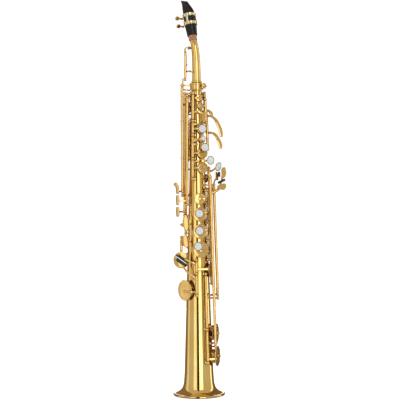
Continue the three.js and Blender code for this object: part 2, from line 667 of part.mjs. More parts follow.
// The small pointed stop on top of a bell-key cup.
function cupSpike(cup) {
  const top = cupTop(cup);
  return bar(at(cup.angle, top - 0.5, cup.z), at(cup.angle, top + 4.5, cup.z), 1.2, 8);
}

// ---- octave mechanism ----------------------------------------------------------------------------------------
function octaveThumbLever() {
  const line = hingeLines.octave;
  const reach = 25.6;
  const lever = join(
    hingeTube(line, 469.2, 526.8),
    swept([onLine(line, 476), at(178, 25, 467), at(186, 25.6, 450), at(190, 25.4, 437)], 4.4, 1.2, 8),
    bar(onLine(line, 518), at(174, reach - 1, 528), 1.5),
    bar(at(174, reach - 1, 527), at(176, reach - 1, 544), 1.4),
    band(172, 264, reach - 2, reach, 541, 544),
    bar(at(263, reach - 1, 542), at(264.5, 24.4, 562), 1.2),
  );
  addKey(line, 0, [["octave_thumb_lever", lever, lacqueredBrass]]);
}

// ---- neck and mouthpiece, drawn with x towards the front of the neck's plane ----------------------------------
const neckGroup = new THREE.Group();
neckGroup.rotation.z = (neckTurn - 90) * deg;
const neckBend = 14 * deg;
const mouthpieceBase = new THREE.Vector3(-10.4, 0, 636);
const neckLine = [[0, 547], [0, 575], [-1.2, 600], [-4.4, 619], [-9.4, 632]];

function inNeck(x, y, z) {
  return new THREE.Vector3(x, y, z);
}

// A hollow neck whose radius shrinks upwards, built from short cone frustums swept along its line.
function neckShell(radiusAt) {
  const curve = new THREE.CatmullRomCurve3(neckLine.map(([x, z]) => inNeck(x, 0, z)));
  const rings = 7;
  const sides = 12;
  const positions = [];
  for (let i = 0; i <= rings; i += 1) {
    const centre = curve.getPoint(i / rings);
    const tangent = curve.getTangent(i / rings);
    const side = new THREE.Vector3(0, 1, 0);
    const front = new THREE.Vector3().crossVectors(side, tangent).normalize();
    for (let j = 0; j < sides; j += 1) {
      const turn = (2 * Math.PI * j) / sides;
      const out = front.clone().multiplyScalar(Math.cos(turn)).addScaledVector(side, Math.sin(turn));
      positions.push(centre.clone().addScaledVector(out, radiusAt(i / rings)));
    }
  }
  const faces = [];
  for (let i = 0; i < rings; i += 1)
    for (let j = 0; j < sides; j += 1) {
      const next = (j + 1) % sides;
      const low = i * sides;
      const high = low + sides;
      faces.push(low + j, low + next, high + next, low + j, high + next, high + j);
    }
  const top = rings * sides;
  for (let j = 1; j < sides - 1; j += 1) {
    faces.push(0, j + 1, j);
    faces.push(top, top + j, top + j + 1);
  }
  const geometry = new THREE.BufferGeometry().setFromPoints(positions);
  geometry.setIndex(faces);
  return solid(geometry);
}

const neckHinge = 574;
const ventHeight = 616;

function neckTube() {
  const outer = neckShell((t) => 7.8 - 1.9 * t);
  const bore = neckShell((t) => 6.6 - 1.9 * t);
  const ring = solid(turned(ringProfile(9, 7.2, 553.6, 557.2), 16));
  const stub = mouthpieceFrame(turned([[0, -5], [6.05, -5], [6.05, 16], [0, 16]], 16));
  const stubBore = mouthpieceFrame(turned([[0, -8], [4.9, -8], [4.9, 18], [0, 18]], 12));
  const posts = [-4.4, 4.4].map((shift) => bar(neckSide(5, shift, neckHinge), neckSide(14.6, shift, neckHinge), 1.3));
  const vent = bar(neckSide(5, 0, ventHeight), neckSide(10, 0, ventHeight), 2.2);
  return join(outer, ring, stub, vent, ...posts).subtract(bore).subtract(stubBore);
}

// A point beside the neck on its key side: out from the neck's line, along the key's hinge, and up.
function neckSide(out, along, z) {
  const turn = -(90 + neckTurn) * deg;
  const lean = z > 600 ? -1.2 - (z - 600) * 0.15 : 0;
  return inNeck(Math.cos(turn) * out + Math.sin(turn) * along + lean, Math.sin(turn) * out - Math.cos(turn) * along, z);
}

// Stands a geometry drawn with z along the mouthpiece in its place on the bent neck.
function mouthpieceFrame(geometry) {
  return solid(geometry.rotateY(-neckBend).translate(mouthpieceBase.x, mouthpieceBase.y, mouthpieceBase.z));
}

function neckCork() {
  return mouthpieceFrame(turned(ringProfile(7.4, 6.5, -6, 15), 20));
}

const mouthpieceLength = 72;
const beakStart = 41;
const tableDepth = -7.6;

function mouthpiece() {
  const shank = [[0, 2], [8.6, 2], [8.9, 3], [10.5, 22], [10.5, beakStart + 2], [8.6, mouthpieceLength], [0, mouthpieceLength]];
  const outer = mouthpieceFrame(turned(shank, 20));
  const socket = mouthpieceFrame(turned([[0, 1], [7.85, 1], [7.85, 20], [5, 20], [5, 44], [0, 44]], 16));
  const beak = new THREE.BoxGeometry(40, 40, 60).translate(20, 0, 30).rotateY(-29 * deg).translate(10.6, 0, beakStart);
  const table = new THREE.BoxGeometry(20, 40, 90).translate(tableDepth - 10, 0, 61.5);
  const window = new THREE.BoxGeometry(10, 9, 30).translate(tableDepth + 2.6, 0, 46);
  return outer
    .subtract(mouthpieceFrame(beak))
    .subtract(mouthpieceFrame(table))
    .subtract(socket)
    .subtract(mouthpieceFrame(window));
}

function reed() {
  const back = tableDepth - 0.3;
  const shape = new THREE.Shape();
  shape.moveTo(back, 17);
  shape.lineTo(back - 2.2, 17);
  shape.lineTo(back - 2.2, 42);
  shape.lineTo(back - 0.9, 57);
  shape.lineTo(back - 0.35, mouthpieceLength - 0.5);
  shape.lineTo(back, mouthpieceLength - 0.5);
  const side = new THREE.ExtrudeGeometry(shape, { depth: 12, bevelEnabled: false });
  const round = mouthpieceFrame(turned([[0, 15], [10.6, 15], [10.6, 75], [0, 75]], 20));
  return mouthpieceFrame(side.rotateX(90 * deg).translate(0, 6, 0)).intersect(round);
}

const ligatureInner = 10.95;
const ligatureBands = [[23, 26.6], [38.6, 42]];
const screwHeights = [25, 40];
const screwReach = 14.6;

function ligature() {
  const bands = ligatureBands.map(([low, high]) => mouthpieceFrame(turned(ringProfile(ligatureInner + 0.9, ligatureInner, low, high), 16)));
  const middle = ligatureInner + 0.45;
  const strips = [-62, 62, 130, -130, 180].map((turn) => {
    const strip = new THREE.BoxGeometry(0.9, 3, 17).translate(middle - 0.05, 0, 32.5).rotateZ(turn * deg);
    return mouthpieceFrame(strip);
  });
  const lugs = screwHeights.flatMap((z) =>
    [-4, 4].map((y) => mouthpieceFrame(new THREE.BoxGeometry(6, 2.4, 4).translate(-screwReach + 0.8, y, z))),
  );
  const holes = screwHeights.map((z) => screwShank(z, 1.75, 14));
  return join(...bands, ...strips, ...lugs).subtract(holes[0]).subtract(holes[1]);
}

function screwShank(z, radius, length) {
  return mouthpieceFrame(new THREE.CylinderGeometry(radius, radius, length, 10).translate(-screwReach, 0, z));
}

// A thumb screw across the ligature's lugs, with a flat waisted grip.
function ligatureScrew(z) {
  const shank = mouthpieceFrame(new THREE.CylinderGeometry(1.3, 1.3, 16, 10).translate(-screwReach, -1, z));
  const collar = mouthpieceFrame(new THREE.CylinderGeometry(2.2, 2.2, 2, 12).translate(-screwReach, -7.4, z));
  const waist = mouthpieceFrame(new THREE.CylinderGeometry(1.5, 1.5, 5, 10).translate(-screwReach, -10.4, z));
  const grip = mouthpieceFrame(new THREE.SphereGeometry(1, 8, 5).scale(1.5, 4.2, 3).translate(-screwReach, -15.6, z));
  return join(shank, collar, waist, grip);
}

function neckOctaveKey() {
  return join(
    bar(neckSide(13.6, -2.6, neckHinge), neckSide(13.6, 2.6, neckHinge), 1.9, 10),
    bar(neckSide(13.6, 0, neckHinge), neckSide(19.4, 0, neckHinge), 1.4),
    bar(neckSide(18.6, 0, 612), neckSide(20.2, 0, 560), 1.4),
    ball(neckSide(20.2, 0, 559), 2.6),
    ball(neckSide(18, 0, 613), 2.2),
    bar(neckSide(17.4, 0, 613), neckSide(12.4, 0, ventHeight), 1.3),
    bar(neckSide(10.4, 0, ventHeight), neckSide(12.8, 0, ventHeight), 3.4, 14),
  );
}

// ---- the whole instrument ------------------------------------------------------------------------------------
addMesh(group, "body_tube", bodyTube(), lacqueredBrass);
addMesh(group, "bell", bell(), lacqueredBrass);
addMesh(group, "neck_receiver", neckReceiver(), lacqueredBrass);
addMesh(group, "neck_screw", neckScrew(), lacqueredBrass);
addMesh(group, "thumb_rest", thumbRest(), blackResin);
addMesh(group, "thumb_hook", thumbHook(), lacqueredBrass);
addMesh(group, "strap_ring", strapRing(), lacqueredBrass);

const ribs = [
  ["upper_stack_rib", hingeLines.upperStack, [383, 418, 460, 485, 534], 4.2],
  ["lower_stack_rib", hingeLines.lowerStack, [240, 274, 304.8, 335, 362], 4.6],
  ["low_c_rib", hingeLines.lowC, [178, 216, 240], 5],
  ["bell_key_rib", hingeLines.bellKeys, [60, 117.9, 215], 5],
];
for (const [name, line, heights, width] of ribs) {
  addMesh(group, name, ribWithPosts(line, heights, width), lacqueredBrass);
  addMesh(group, name.replace("_rib", "_rod"), hingeRod(line, heights[0] - 2, heights[heights.length - 1] + 2), steel);
}

lowerStackKeys();
upperStackKeys();
palmKeys();
sideKeys();
trillKeys();
rightLittleFingerKeys();
leftLittleFingerKeys();
bellKeys();
octaveThumbLever();

addMesh(neckGroup, "neck_tube", neckTube(), lacqueredBrass);
addMesh(neckGroup, "neck_cork", neckCork(), neckCorkFinish);
addMesh(neckGroup, "neck_octave_key", neckOctaveKey(), lacqueredBrass);
addMesh(neckGroup, "mouthpiece", mouthpiece(), ebonite);
addMesh(neckGroup, "reed", reed(), cane);
addMesh(neckGroup, "ligature", ligature(), lacqueredBrass);
addMesh(neckGroup, "ligature_screw_lower", ligatureScrew(screwHeights[0]), lacqueredBrass);
addMesh(neckGroup, "ligature_screw_upper", ligatureScrew(screwHeights[1]), lacqueredBrass);
group.add(neckGroup);

export default group;
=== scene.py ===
from math import acos, atan2, ceil, cos, hypot, pi, radians, sin

import bmesh
import bpy
from mathutils import Matrix, Vector


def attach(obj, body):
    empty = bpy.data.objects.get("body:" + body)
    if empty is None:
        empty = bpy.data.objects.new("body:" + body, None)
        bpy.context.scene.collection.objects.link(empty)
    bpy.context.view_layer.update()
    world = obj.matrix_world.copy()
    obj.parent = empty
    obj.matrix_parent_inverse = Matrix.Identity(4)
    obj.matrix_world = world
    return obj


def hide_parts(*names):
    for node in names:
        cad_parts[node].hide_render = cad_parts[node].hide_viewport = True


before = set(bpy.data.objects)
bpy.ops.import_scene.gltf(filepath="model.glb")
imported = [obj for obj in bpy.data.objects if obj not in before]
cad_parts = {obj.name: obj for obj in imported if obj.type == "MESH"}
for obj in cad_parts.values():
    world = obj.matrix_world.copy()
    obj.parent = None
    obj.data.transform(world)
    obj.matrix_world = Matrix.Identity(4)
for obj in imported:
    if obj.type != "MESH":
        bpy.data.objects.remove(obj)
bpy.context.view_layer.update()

# A straight soprano saxophone. Everything is drawn in millimetres and made in metres: the body axis is Z, the
# stack keys face -Y and the player's left hand is on +X. Keys are drawn closed and then opened about
# their hinges.
millimetre = 0.001
print("frame loaded,", len(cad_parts), "nodes")


# finishes
def newGroup(name, inputs, outputs):
    tree = bpy.data.node_groups.new(name, "ShaderNodeTree")
    for label, kind, value in inputs:
        socket = tree.interface.new_socket(name=label, in_out="INPUT", socket_type=kind)
        socket.default_value = value
    for label, kind in outputs:
        tree.interface.new_socket(name=label, in_out="OUTPUT", socket_type=kind)
    return tree, tree.nodes.new("NodeGroupInput"), tree.nodes.new("NodeGroupOutput")


def addNode(tree, kind, **settings):
    node = tree.nodes.new(kind)
    for key, value in settings.items():
        setattr(node, key, value)
    return node


def noiseAt(tree, vector, scale, detail=3.0, stretch=None):
    noise = addNode(tree, "ShaderNodeTexNoise")
    noise.inputs["Detail"].default_value = detail
    if stretch:
        mapping = addNode(tree, "ShaderNodeMapping")
        mapping.inputs["Scale"].default_value = stretch
        tree.links.new(vector, mapping.inputs["Vector"])
        vector = mapping.outputs["Vector"]
    tree.links.new(vector, noise.inputs["Vector"])
    if isinstance(scale, (int, float)):
        noise.inputs["Scale"].default_value = scale
    else:
        tree.links.new(scale, noise.inputs["Scale"])
    return noise.outputs["Fac"]


def spread(tree, value, low, high, toLow=0.0, toHigh=1.0):
    node = addNode(tree, "ShaderNodeMapRange")
    for label, setting in (("From Min", low), ("From Max", high), ("To Min", toLow), ("To Max", toHigh)):
        if isinstance(setting, (int, float)):
            node.inputs[label].default_value = setting
        else:
            tree.links.new(setting, node.inputs[label])
    tree.links.new(value, node.inputs["Value"])
    return node.outputs["Result"]


def mathNode(tree, operation, first, second):
    node = addNode(tree, "ShaderNodeMath", operation=operation)
    for slot, setting in enumerate((first, second)):
        if isinstance(setting, (int, float)):
            node.inputs[slot].default_value = setting
        else:
            tree.links.new(setting, node.inputs[slot])
    return node.outputs["Value"]


def mixColour(tree, factor, first, second):
    node = addNode(tree, "ShaderNodeMix", data_type="RGBA")
    for slot, setting in ((0, factor), (6, first), (7, second)):
        if isinstance(setting, (int, float, tuple)):
            node.inputs[slot].default_value = setting if slot == 0 else (*setting, 1.0)
        else:
            tree.links.new(setting, node.inputs[slot])
    return node.outputs[2]


def buildHandling():
    # smudges and fine hairlines that any handled polished surface has
    tree, given, out = newGroup(
        "handling",
        [("Smudge Scale", "NodeSocketFloat", 60.0), ("Hairline Scale", "NodeSocketFloat", 900.0),
         ("Low Roughness", "NodeSocketFloat", 0.1), ("High Roughness", "NodeSocketFloat", 0.2)],
        [("Smudge", "NodeSocketFloat"), ("Roughness", "NodeSocketFloat"), ("Height", "NodeSocketFloat")],
    )
    where = addNode(tree, "ShaderNodeTexCoord").outputs["Object"]
    smudge = spread(tree, noiseAt(tree, where, given.outputs["Smudge Scale"], 4.0), 0.35, 0.7)
    hairline = noiseAt(tree, where, given.outputs["Hairline Scale"], 2.0, (1.0, 1.0, 0.06))
    rough = spread(tree, smudge, 0.0, 1.0, given.outputs["Low Roughness"], given.outputs["High Roughness"])
    tree.links.new(smudge, out.inputs["Smudge"])
    tree.links.new(mathNode(tree, "ADD", rough, mathNode(tree, "MULTIPLY", hairline, 0.02)),
                   out.inputs["Roughness"])
    tree.links.new(hairline, out.inputs["Height"])
    return tree


def buildPaintedCornerShade():
    # a mask of the tight corners, found by ambient occlusion, where the brass gets painted shade
    tree, given, out = newGroup(
        "corners", [("Depth", "NodeSocketFloat", 0.004)], [("Mask", "NodeSocketFloat")]
    )
    shade = addNode(tree, "ShaderNodeAmbientOcclusion", samples=6)
    tree.links.new(given.outputs["Depth"], shade.inputs["Distance"])
    tree.links.new(spread(tree, shade.outputs["AO"], 0.3, 0.92, 1.0, 0.0), out.inputs["Mask"])
    return tree


handling = buildHandling()
corners = buildPaintedCornerShade()


def newMaterial(name):
    material = bpy.data.materials.new(name)
    material.use_nodes = True
    tree = material.node_tree
    tree.nodes.clear()
    shader = addNode(tree, "ShaderNodeBsdfPrincipled")
    out = addNode(tree, "ShaderNodeOutputMaterial")
    tree.links.new(shader.outputs["BSDF"], out.inputs["Surface"])
    return material, tree, shader


def placeGroup(tree, group, **values):
    node = addNode(tree, "ShaderNodeGroup", node_tree=group)
    for label, value in values.items():
        node.inputs[label.replace("_", " ")].default_value = value
    return node


def bumpFrom(tree, shader, height, strength, distance):
    bump = addNode(tree, "ShaderNodeBump")
    bump.inputs["Strength"].default_value = strength
    bump.inputs["Distance"].default_value = distance
    tree.links.new(height, bump.inputs["Height"])
    tree.links.new(bump.outputs["Normal"], shader.inputs["Normal"])


def brassFinish(name, look):
    material, tree, shader = newMaterial(name)
    where = addNode(tree, "ShaderNodeTexCoord").outputs["Object"]
    hand = placeGroup(tree, handling, Smudge_Scale=look["smudgeScale"],
                      Hairline_Scale=look["hairlineScale"],
                      Low_Roughness=look["roughness"][0], High_Roughness=look["roughness"][1])
    cloudy = spread(tree, noiseAt(tree, where, look["cloudScale"], 3.0), 0.3, 0.7)
    colour = mixColour(tree, cloudy, look["pale"], look["deep"])
    # painted shade: the ambient-occlusion corner mask darkens the brass towards a dark red-brown
    if look["paintedShadeAmount"]:
        cornerShade = placeGroup(tree, corners, Depth=look["cornerShadeDepth"])
        paintedShade = mathNode(tree, "MULTIPLY", cornerShade.outputs["Mask"], look["paintedShadeAmount"])
        colour = mixColour(tree, paintedShade, colour, look["paintedShade"])
    tree.links.new(colour, shader.inputs["Base Color"])
    tree.links.new(hand.outputs["Roughness"], shader.inputs["Roughness"])
    shader.inputs["Metallic"].default_value = 1.0
    shader.inputs["Coat Weight"].default_value = look["coat"]
    shader.inputs["Coat Roughness"].default_value = 0.06
    bumpFrom(tree, shader, hand.outputs["Height"], look["bump"], 0.00003)
    return material


# the corner colour, amount and depth below are painted shade: a dark red-brown laid into tight corners by
# ambient occlusion
lacquer = {
    "pale": (0.94, 0.67, 0.24), "deep": (0.88, 0.56, 0.16), "paintedShade": (0.17, 0.045, 0.012),
    "roughness": (0.04, 0.10), "smudgeScale": 45.0, "hairlineScale": 700.0, "cloudScale": 22.0,
    "cornerShadeDepth": 0.008, "paintedShadeAmount": 0.95, "coat": 0.2, "bump": 0.2,
}
keyLacquer = dict(lacquer, pale=(0.92, 0.63, 0.23), deep=(0.82, 0.50, 0.14), roughness=(0.05, 0.13),
                  cloudScale=60.0)
# the pale brass takes less painted shade in its corners
paleLacquer = dict(keyLacquer, pale=(0.97, 0.84, 0.50), deep=(0.94, 0.76, 0.38), paintedShadeAmount=0.6)
bareBrass = dict(lacquer, pale=(0.62, 0.40, 0.16), deep=(0.40, 0.24, 0.10), roughness=(0.25, 0.45),
                 coat=0.0, bump=0.5)


def simpleFinish(name, look):
    # a dull or polished non-metal, or ground steel, with its own grain direction
    material, tree, shader = newMaterial(name)
    where = addNode(tree, "ShaderNodeTexCoord").outputs["Object"]
    grain = noiseAt(tree, where, look["grainScale"], 4.0, look.get("stretch"))
    share = spread(tree, grain, look["contrast"][0], look["contrast"][1])
    colour = mixColour(tree, share, look["light"], look["dark"])
    tree.links.new(colour, shader.inputs["Base Color"])
    hand = placeGroup(tree, handling, Smudge_Scale=look.get("smudgeScale", 90.0), Hairline_Scale=1200.0,
                      Low_Roughness=look["roughness"][0], High_Roughness=look["roughness"][1])
    tree.links.new(hand.outputs["Roughness"], shader.inputs["Roughness"])
    shader.inputs["Metallic"].default_value = look.get("metal", 0.0)
    shader.inputs["Coat Weight"].default_value = look.get("coat", 0.0)
    shader.inputs["Specular IOR Level"].default_value = look.get("shine", 0.5)
    bumpFrom(tree, shader, grain, look["bump"][0], look["bump"][1])
    return material


hardRubber = {"light": (0.010, 0.008, 0.009), "dark": (0.004, 0.003, 0.004), "grainScale": 120.0,
              "contrast": (0.3, 0.7),
              "roughness": (0.16, 0.34), "bump": (0.12, 0.00005), "shine": 0.3}
corkFinish = {"light": (0.46, 0.22, 0.11), "dark": (0.20, 0.075, 0.03), "grainScale": 700.0,
              "contrast": (0.42, 0.62),
              "roughness": (0.75, 0.95), "bump": (0.8, 0.0003)}
caneFinish = {"light": (0.80, 0.66, 0.38), "dark": (0.58, 0.41, 0.17), "grainScale": 900.0,
              "contrast": (0.35, 0.65),
              "stretch": (1.0, 1.0, 0.04), "roughness": (0.45, 0.65), "bump": (0.4, 0.0001)}
resinFinish = {"light": (0.012, 0.012, 0.013), "dark": (0.004, 0.004, 0.004), "grainScale": 200.0,
               "contrast": (0.3, 0.7),
               "roughness": (0.15, 0.3), "bump": (0.1, 0.00003), "coat": 0.3}
leatherFinish = {"light": (0.36, 0.20, 0.10), "dark": (0.22, 0.10, 0.045), "grainScale": 1400.0,
                 "contrast": (0.35, 0.65),
                 "roughness": (0.55, 0.75), "bump": (0.7, 0.00012)}
steelFinish = {"light": (0.60, 0.59, 0.57), "dark": (0.40, 0.39, 0.38), "grainScale": 1500.0,
               "contrast": (0.3, 0.7),
               "stretch": (1.0, 1.0, 0.05), "roughness": (0.2, 0.35), "bump": (0.3, 0.00003), "metal": 1.0}
blueSteelFinish = dict(steelFinish, light=(0.12, 0.14, 0.22), dark=(0.06, 0.06, 0.10))


def pearlFinish(name, look):
    material, tree, shader = newMaterial(name)
    where = addNode(tree, "ShaderNodeTexCoord").outputs["Object"]
    broad = noiseAt(tree, where, look["layerScale"], 5.0)
    wave = addNode(tree, "ShaderNodeTexWave", wave_type="BANDS", bands_direction="DIAGONAL")
    wave.inputs["Scale"].default_value = look["waveScale"]
    wave.inputs["Distortion"].default_value = 9.0
    wave.inputs["Detail"].default_value = 3.0
    tree.links.new(where, wave.inputs["Vector"])
    ramp = addNode(tree, "ShaderNodeValToRGB")
    ramp.color_ramp.elements[0].position = 0.2
    ramp.color_ramp.elements[0].color = (*look["shades"][0], 1.0)
    ramp.color_ramp.elements[1].position = 0.8
    ramp.color_ramp.elements[1].color = (*look["shades"][1], 1.0)
    middle = ramp.color_ramp.elements.new(0.5)
    middle.color = (*look["shades"][2], 1.0)
    blend = mathNode(tree, "ADD", mathNode(tree, "MULTIPLY", broad, 0.7),
                     mathNode(tree, "MULTIPLY", wave.outputs["Fac"], 0.3))
    tree.links.new(blend, ramp.inputs["Fac"])
    tree.links.new(ramp.outputs["Color"], shader.inputs["Base Color"])
    tree.links.new(spread(tree, broad, 0.3, 0.7, 0.14, 0.26), shader.inputs["Roughness"])
    shader.inputs["Coat Weight"].default_value = 0.5
    bumpFrom(tree, shader, wave.outputs["Fac"], 0.08, 0.00005)
    return material


shellPearl = {"layerScale": 160.0, "waveScale": 110.0,
              "shades": [(0.40, 0.47, 0.49), (0.66, 0.67, 0.65), (0.54, 0.57, 0.60)]}

finishes = {
    "brass": brassFinish("bodyLacquer", lacquer),
    "keyBrass": brassFinish("keyLacquer", keyLacquer),
    "paleBrass": brassFinish("paleLacquer", paleLacquer),
    "bore": brassFinish("boreBrass", bareBrass),
    "rubber": simpleFinish("hardRubber", hardRubber),
    "cork": simpleFinish("neckCork", corkFinish),
    "cane": simpleFinish("reedCane", caneFinish),
    "resin": simpleFinish("blackResin", resinFinish),
    "leather": simpleFinish("padLeather", leatherFinish),
    "steel": simpleFinish("groundSteel", steelFinish),
    "spring": simpleFinish("blueSteel", blueSteelFinish),
    "pearl": pearlFinish("shellPearl", shellPearl),
}
print("finishes made,", len(finishes))


# shapes: each maker returns a list of (points in millimetres, faces, finish)
def onBody(angle, radius, z):
    return Vector((radius * sin(radians(angle)), -radius * cos(radians(angle)), z))


body = {"base": 26.9, "slope": 0.0332, "wall": 1.3, "bellTop": 52.0, "top": 545.0, "sides": 96}


def bodyRadius(z):
    return body["base"] - body["slope"] * z


def spot(angle, radius, z, facing=None, roll=0.0):
    # x runs round the body, y up it and z outwards
    out = onBody(angle if facing is None else facing, 1, 0)
    around = Vector((0, 0, 1)).cross(out)
    turn = Matrix((around, Vector((0, 0, 1)), out)).transposed().to_4x4()
    return Matrix.Translation(onBody(angle, radius, z)) @ turn @ Matrix.Rotation(radians(roll), 4, "Z")


def moved(shapes, place):
    return [([place @ Vector(p) for p in points], faces, finish) for points, faces, finish in shapes]


def turnedBy(shapes, line, angle):
    # turns shapes about a hinge line
    if not angle:
        return shapes
    foot, along = onLine(line, line["low"]), lineAlong(line)
    place = Matrix.Translation(foot) @ Matrix.Rotation(radians(angle), 4, along) @ Matrix.Translation(-foot)
    return moved(shapes, place)


def softened(points, size, closed=False):
    # rounds the corners of an outline or profile
    result = []
    count = len(points)
    for i, point in enumerate(points):
        here = Vector(point)
        if not closed and i in (0, count - 1):
            result.append(here)
            continue
        before, after = Vector(points[i - 1]), Vector(points[(i + 1) % count])
        reach = min(size, (before - here).length * 0.45, (after - here).length * 0.45)
        first = here + (before - here).normalized() * reach
        last = here + (after - here).normalized() * reach
        for t in (0.0, 0.33, 0.67, 1.0):
            result.append(first.lerp(here, t).lerp(here.lerp(last, t), t))
    return result


def lathe(profile, finish, sides=40, soft=0.25, place=None, closed=False):
    points = softened([(r, h) for r, h in profile], soft, closed)
    count = len(points)
    corners, faces = [], []
    for j in range(sides):
        turn = 2 * pi * j / sides
        corners += [Vector((r * cos(turn), r * sin(turn), h)) for r, h in points]
    for j in range(sides):
        k = (j + 1) % sides
        for i in range(count if closed else count - 1):
            n = (i + 1) % count
            faces.append((j * count + i, k * count + i, k * count + n, j * count + n))
    shapes = [(corners, faces, finish)]
    return moved(shapes, place) if place else shapes


def standing(start, end):
    # a matrix that stands a piece drawn up Z on start, pointing at end
    along = (end - start).normalized()
    return Matrix.Translation(start) @ along.to_track_quat("Z", "Y").to_matrix().to_4x4()


def rod(start, end, radius, finish, sides=20, soft=0.3):
    length = (end - start).length
    return lathe([(0, 0), (radius, 0), (radius, length), (0, length)], finish, sides, soft,
                 standing(start, end))


def ball(centre, radius, finish, sides=20):
    profile = [(radius * sin(pi * i / 12), -radius * cos(pi * i / 12)) for i in range(13)]
    return lathe(profile, finish, sides, 0, Matrix.Translation(centre))


def splinePoints(points, steps):
    # a smooth line through the points
    points = [Vector(p) for p in points]
    ends = [points[0] * 2 - points[1], *points, points[-1] * 2 - points[-2]]
    result = []
    for i in range(1, len(ends) - 2):
        a, b, c, d = ends[i - 1:i + 3]
        for s in range(steps):
            t = s / steps
            result.append(0.5 * (2 * b + (c - a) * t + (2 * a - 5 * b + 4 * c - d) * t * t
                                 + (3 * b - a - 3 * c + d) * t ** 3))
    result.append(points[-1])
    return result


def sweep(points, widths, thickness, finish, facing=None, steps=6, sides=16, square=2.6):
    # a soft-edged strip along a smooth line; its flat side looks away from the body axis unless facing says
    # otherwise. widths are half widths spread evenly along the line
    line = splinePoints(points, steps)
    count = len(line)
    corners, faces = [], []
    for i, here in enumerate(line):
        along = (line[min(i + 1, count - 1)] - line[max(i - 1, 0)]).normalized()
        out = Vector(facing) if facing else Vector((here.x, here.y, 0))
        out = (out - along * out.dot(along)).normalized()
        across = along.cross(out)
        share = i / (count - 1) * (len(widths) - 1)
        low = min(int(share), len(widths) - 2) if len(widths) > 1 else 0
        wide = widths[low] + (widths[min(low + 1, len(widths) - 1)] - widths[low]) * (share - low)
        tight = min(1.0, 0.45 + min(i, count - 1 - i) * 0.4)
        for j in range(sides):
            turn = 2 * pi * j / sides
            c, s = cos(turn), sin(turn)
            u = abs(c) ** (2 / square) * (1 if c > 0 else -1)
            v = abs(s) ** (2 / square) * (1 if s > 0 else -1)
            corners.append(here + across * (u * wide * tight) + out * (v * thickness * tight))
    for i in range(count - 1):
        for j in range(sides):
            k = (j + 1) % sides
            faces.append((i * sides + j, i * sides + k, (i + 1) * sides + k, (i + 1) * sides + j))
    faces.append(tuple(range(sides)))
    faces.append(tuple((count - 1) * sides + j for j in range(sides)))
    return [(corners, faces, finish)]


def plate(outline, thickness, finish, place, soft=0.5, dome=0.0, round=1.2):
    # a flat piece with softened edges; dome raises its middle
    rim = softened(outline, round, True) if round else [Vector(p) for p in outline]
    count = len(rim)
    middle = sum(rim, Vector((0, 0))) / count

    def inset(amount):
        moves = []
        for i, point in enumerate(rim):
            edge = (rim[(i + 1) % count] - rim[i - 1]).normalized()
            side = Vector((-edge.y, edge.x))
            if side.dot(middle - point) < 0:
                side = -side
            moves.append(point + side * amount)
        return moves

    rings = [(inset(soft), 0.0), (inset(soft * 0.3), soft * 0.3), (rim, soft), (rim, thickness - soft),
             (inset(soft * 0.3), thickness - soft * 0.3), (inset(soft), thickness)]
    if dome:
        top = rings[-1][0]
        for share in (0.8, 0.55, 0.3):
            ring = [middle + (point - middle) * share for point in top]
            rings.append((ring, thickness + dome * (1 - share * share)))
    corners = [Vector((p.x, p.y, h)) for ring, h in rings for p in ring]
    faces = []
    for r in range(len(rings) - 1):
        for i in range(count):
            k = (i + 1) % count
            faces.append((r * count + i, r * count + k, (r + 1) * count + k, (r + 1) * count + i))
    faces.append(tuple(range(count)))
    faces.append(tuple((len(rings) - 1) * count + i for i in range(count)))
    return moved([(corners, faces, finish)], place)


def oval(halfWidth, halfHeight, steps=36):
    return [(halfWidth * cos(2 * pi * i / steps),
             halfHeight * sin(2 * pi * i / steps)) for i in range(steps)]


def box(wide, high, deep, finish, place, soft=0.35):
    outline = [(-wide / 2, -high / 2), (wide / 2, -high / 2), (wide / 2, high / 2), (-wide / 2, high / 2)]
    return plate(outline, deep, finish, place @ Matrix.Translation((0, 0, -deep / 2)), soft, round=soft)


def makePiece(name, shapes, rider, nodes=(), smooth=38):
    mesh = bpy.data.meshes.new(name)
    made = bmesh.new()
    used = []
    for points, faces, finish in shapes:
        if finish not in used:
            used.append(finish)
        corners = [made.verts.new(Vector(p) * millimetre) for p in points]
        for face in faces:
            added = made.faces.new([corners[i] for i in face])
            added.material_index = used.index(finish)
            added.smooth = True
    bmesh.ops.remove_doubles(made, verts=made.verts, dist=1e-7)
    bmesh.ops.recalc_face_normals(made, faces=made.faces)
    made.to_mesh(mesh)
    made.free()
    mesh.set_sharp_from_angle(angle=radians(smooth))
    for finish in used:
        mesh.materials.append(finishes[finish])
    piece = bpy.data.objects.new(name, mesh)
    bpy.context.scene.collection.objects.link(piece)
    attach(piece, rider)
    if nodes:
        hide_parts(*nodes)
    return piece


# hinge lines: each follows the body at an angle, and its distance from the axis changes evenly
def hingeLine(angle, low, high, lowRadius, highRadius):
    return {"angle": angle, "low": low, "high": high, "lowRadius": lowRadius, "highRadius": highRadius}


hinges = {
    "upperStack": hingeLine(-22, 383, 534, 21.3, 16.9),
    "lowerStack": hingeLine(58, 240, 362, 25.4, 21.4),
    "lowC": hingeLine(-6, 178, 240, 26.6, 24.6),
    "bellKeys": hingeLine(31, 60, 215, 31, 25.6),
    "sideE": hingeLine(-78, 352, 549, 27, 26.4),
    "sideC": hingeLine(-58, 336, 530, 22, 19.5),
    "sideBb": hingeLine(-108, 316, 480, 24.5, 20),
    "trill": hingeLine(-84, 250, 279.5, 30, 29.2),
    "highFSharp": hingeLine(-124, 286, 536, 26, 25),
    "palmD": hingeLine(66, 482, 524, 17.8, 16.6),
    "palmEb": hingeLine(90, 436, 502, 19.2, 17.2),
    "palmF": hingeLine(122, 486, 536, 17.6, 16.4),
    "gSharp": hingeLine(88, 366, 402, 21.6, 20.6),
    "lowCSharp": hingeLine(118, 196, 364, 27.5, 21.5),
    "bLever": hingeLine(72, 172, 372, 36.4, 30.6),
    "bbLever": hingeLine(50, 88, 386, 38.6, 29.8),
    "octave": hingeLine(172, 466, 530, 18.6, 16.6),
}
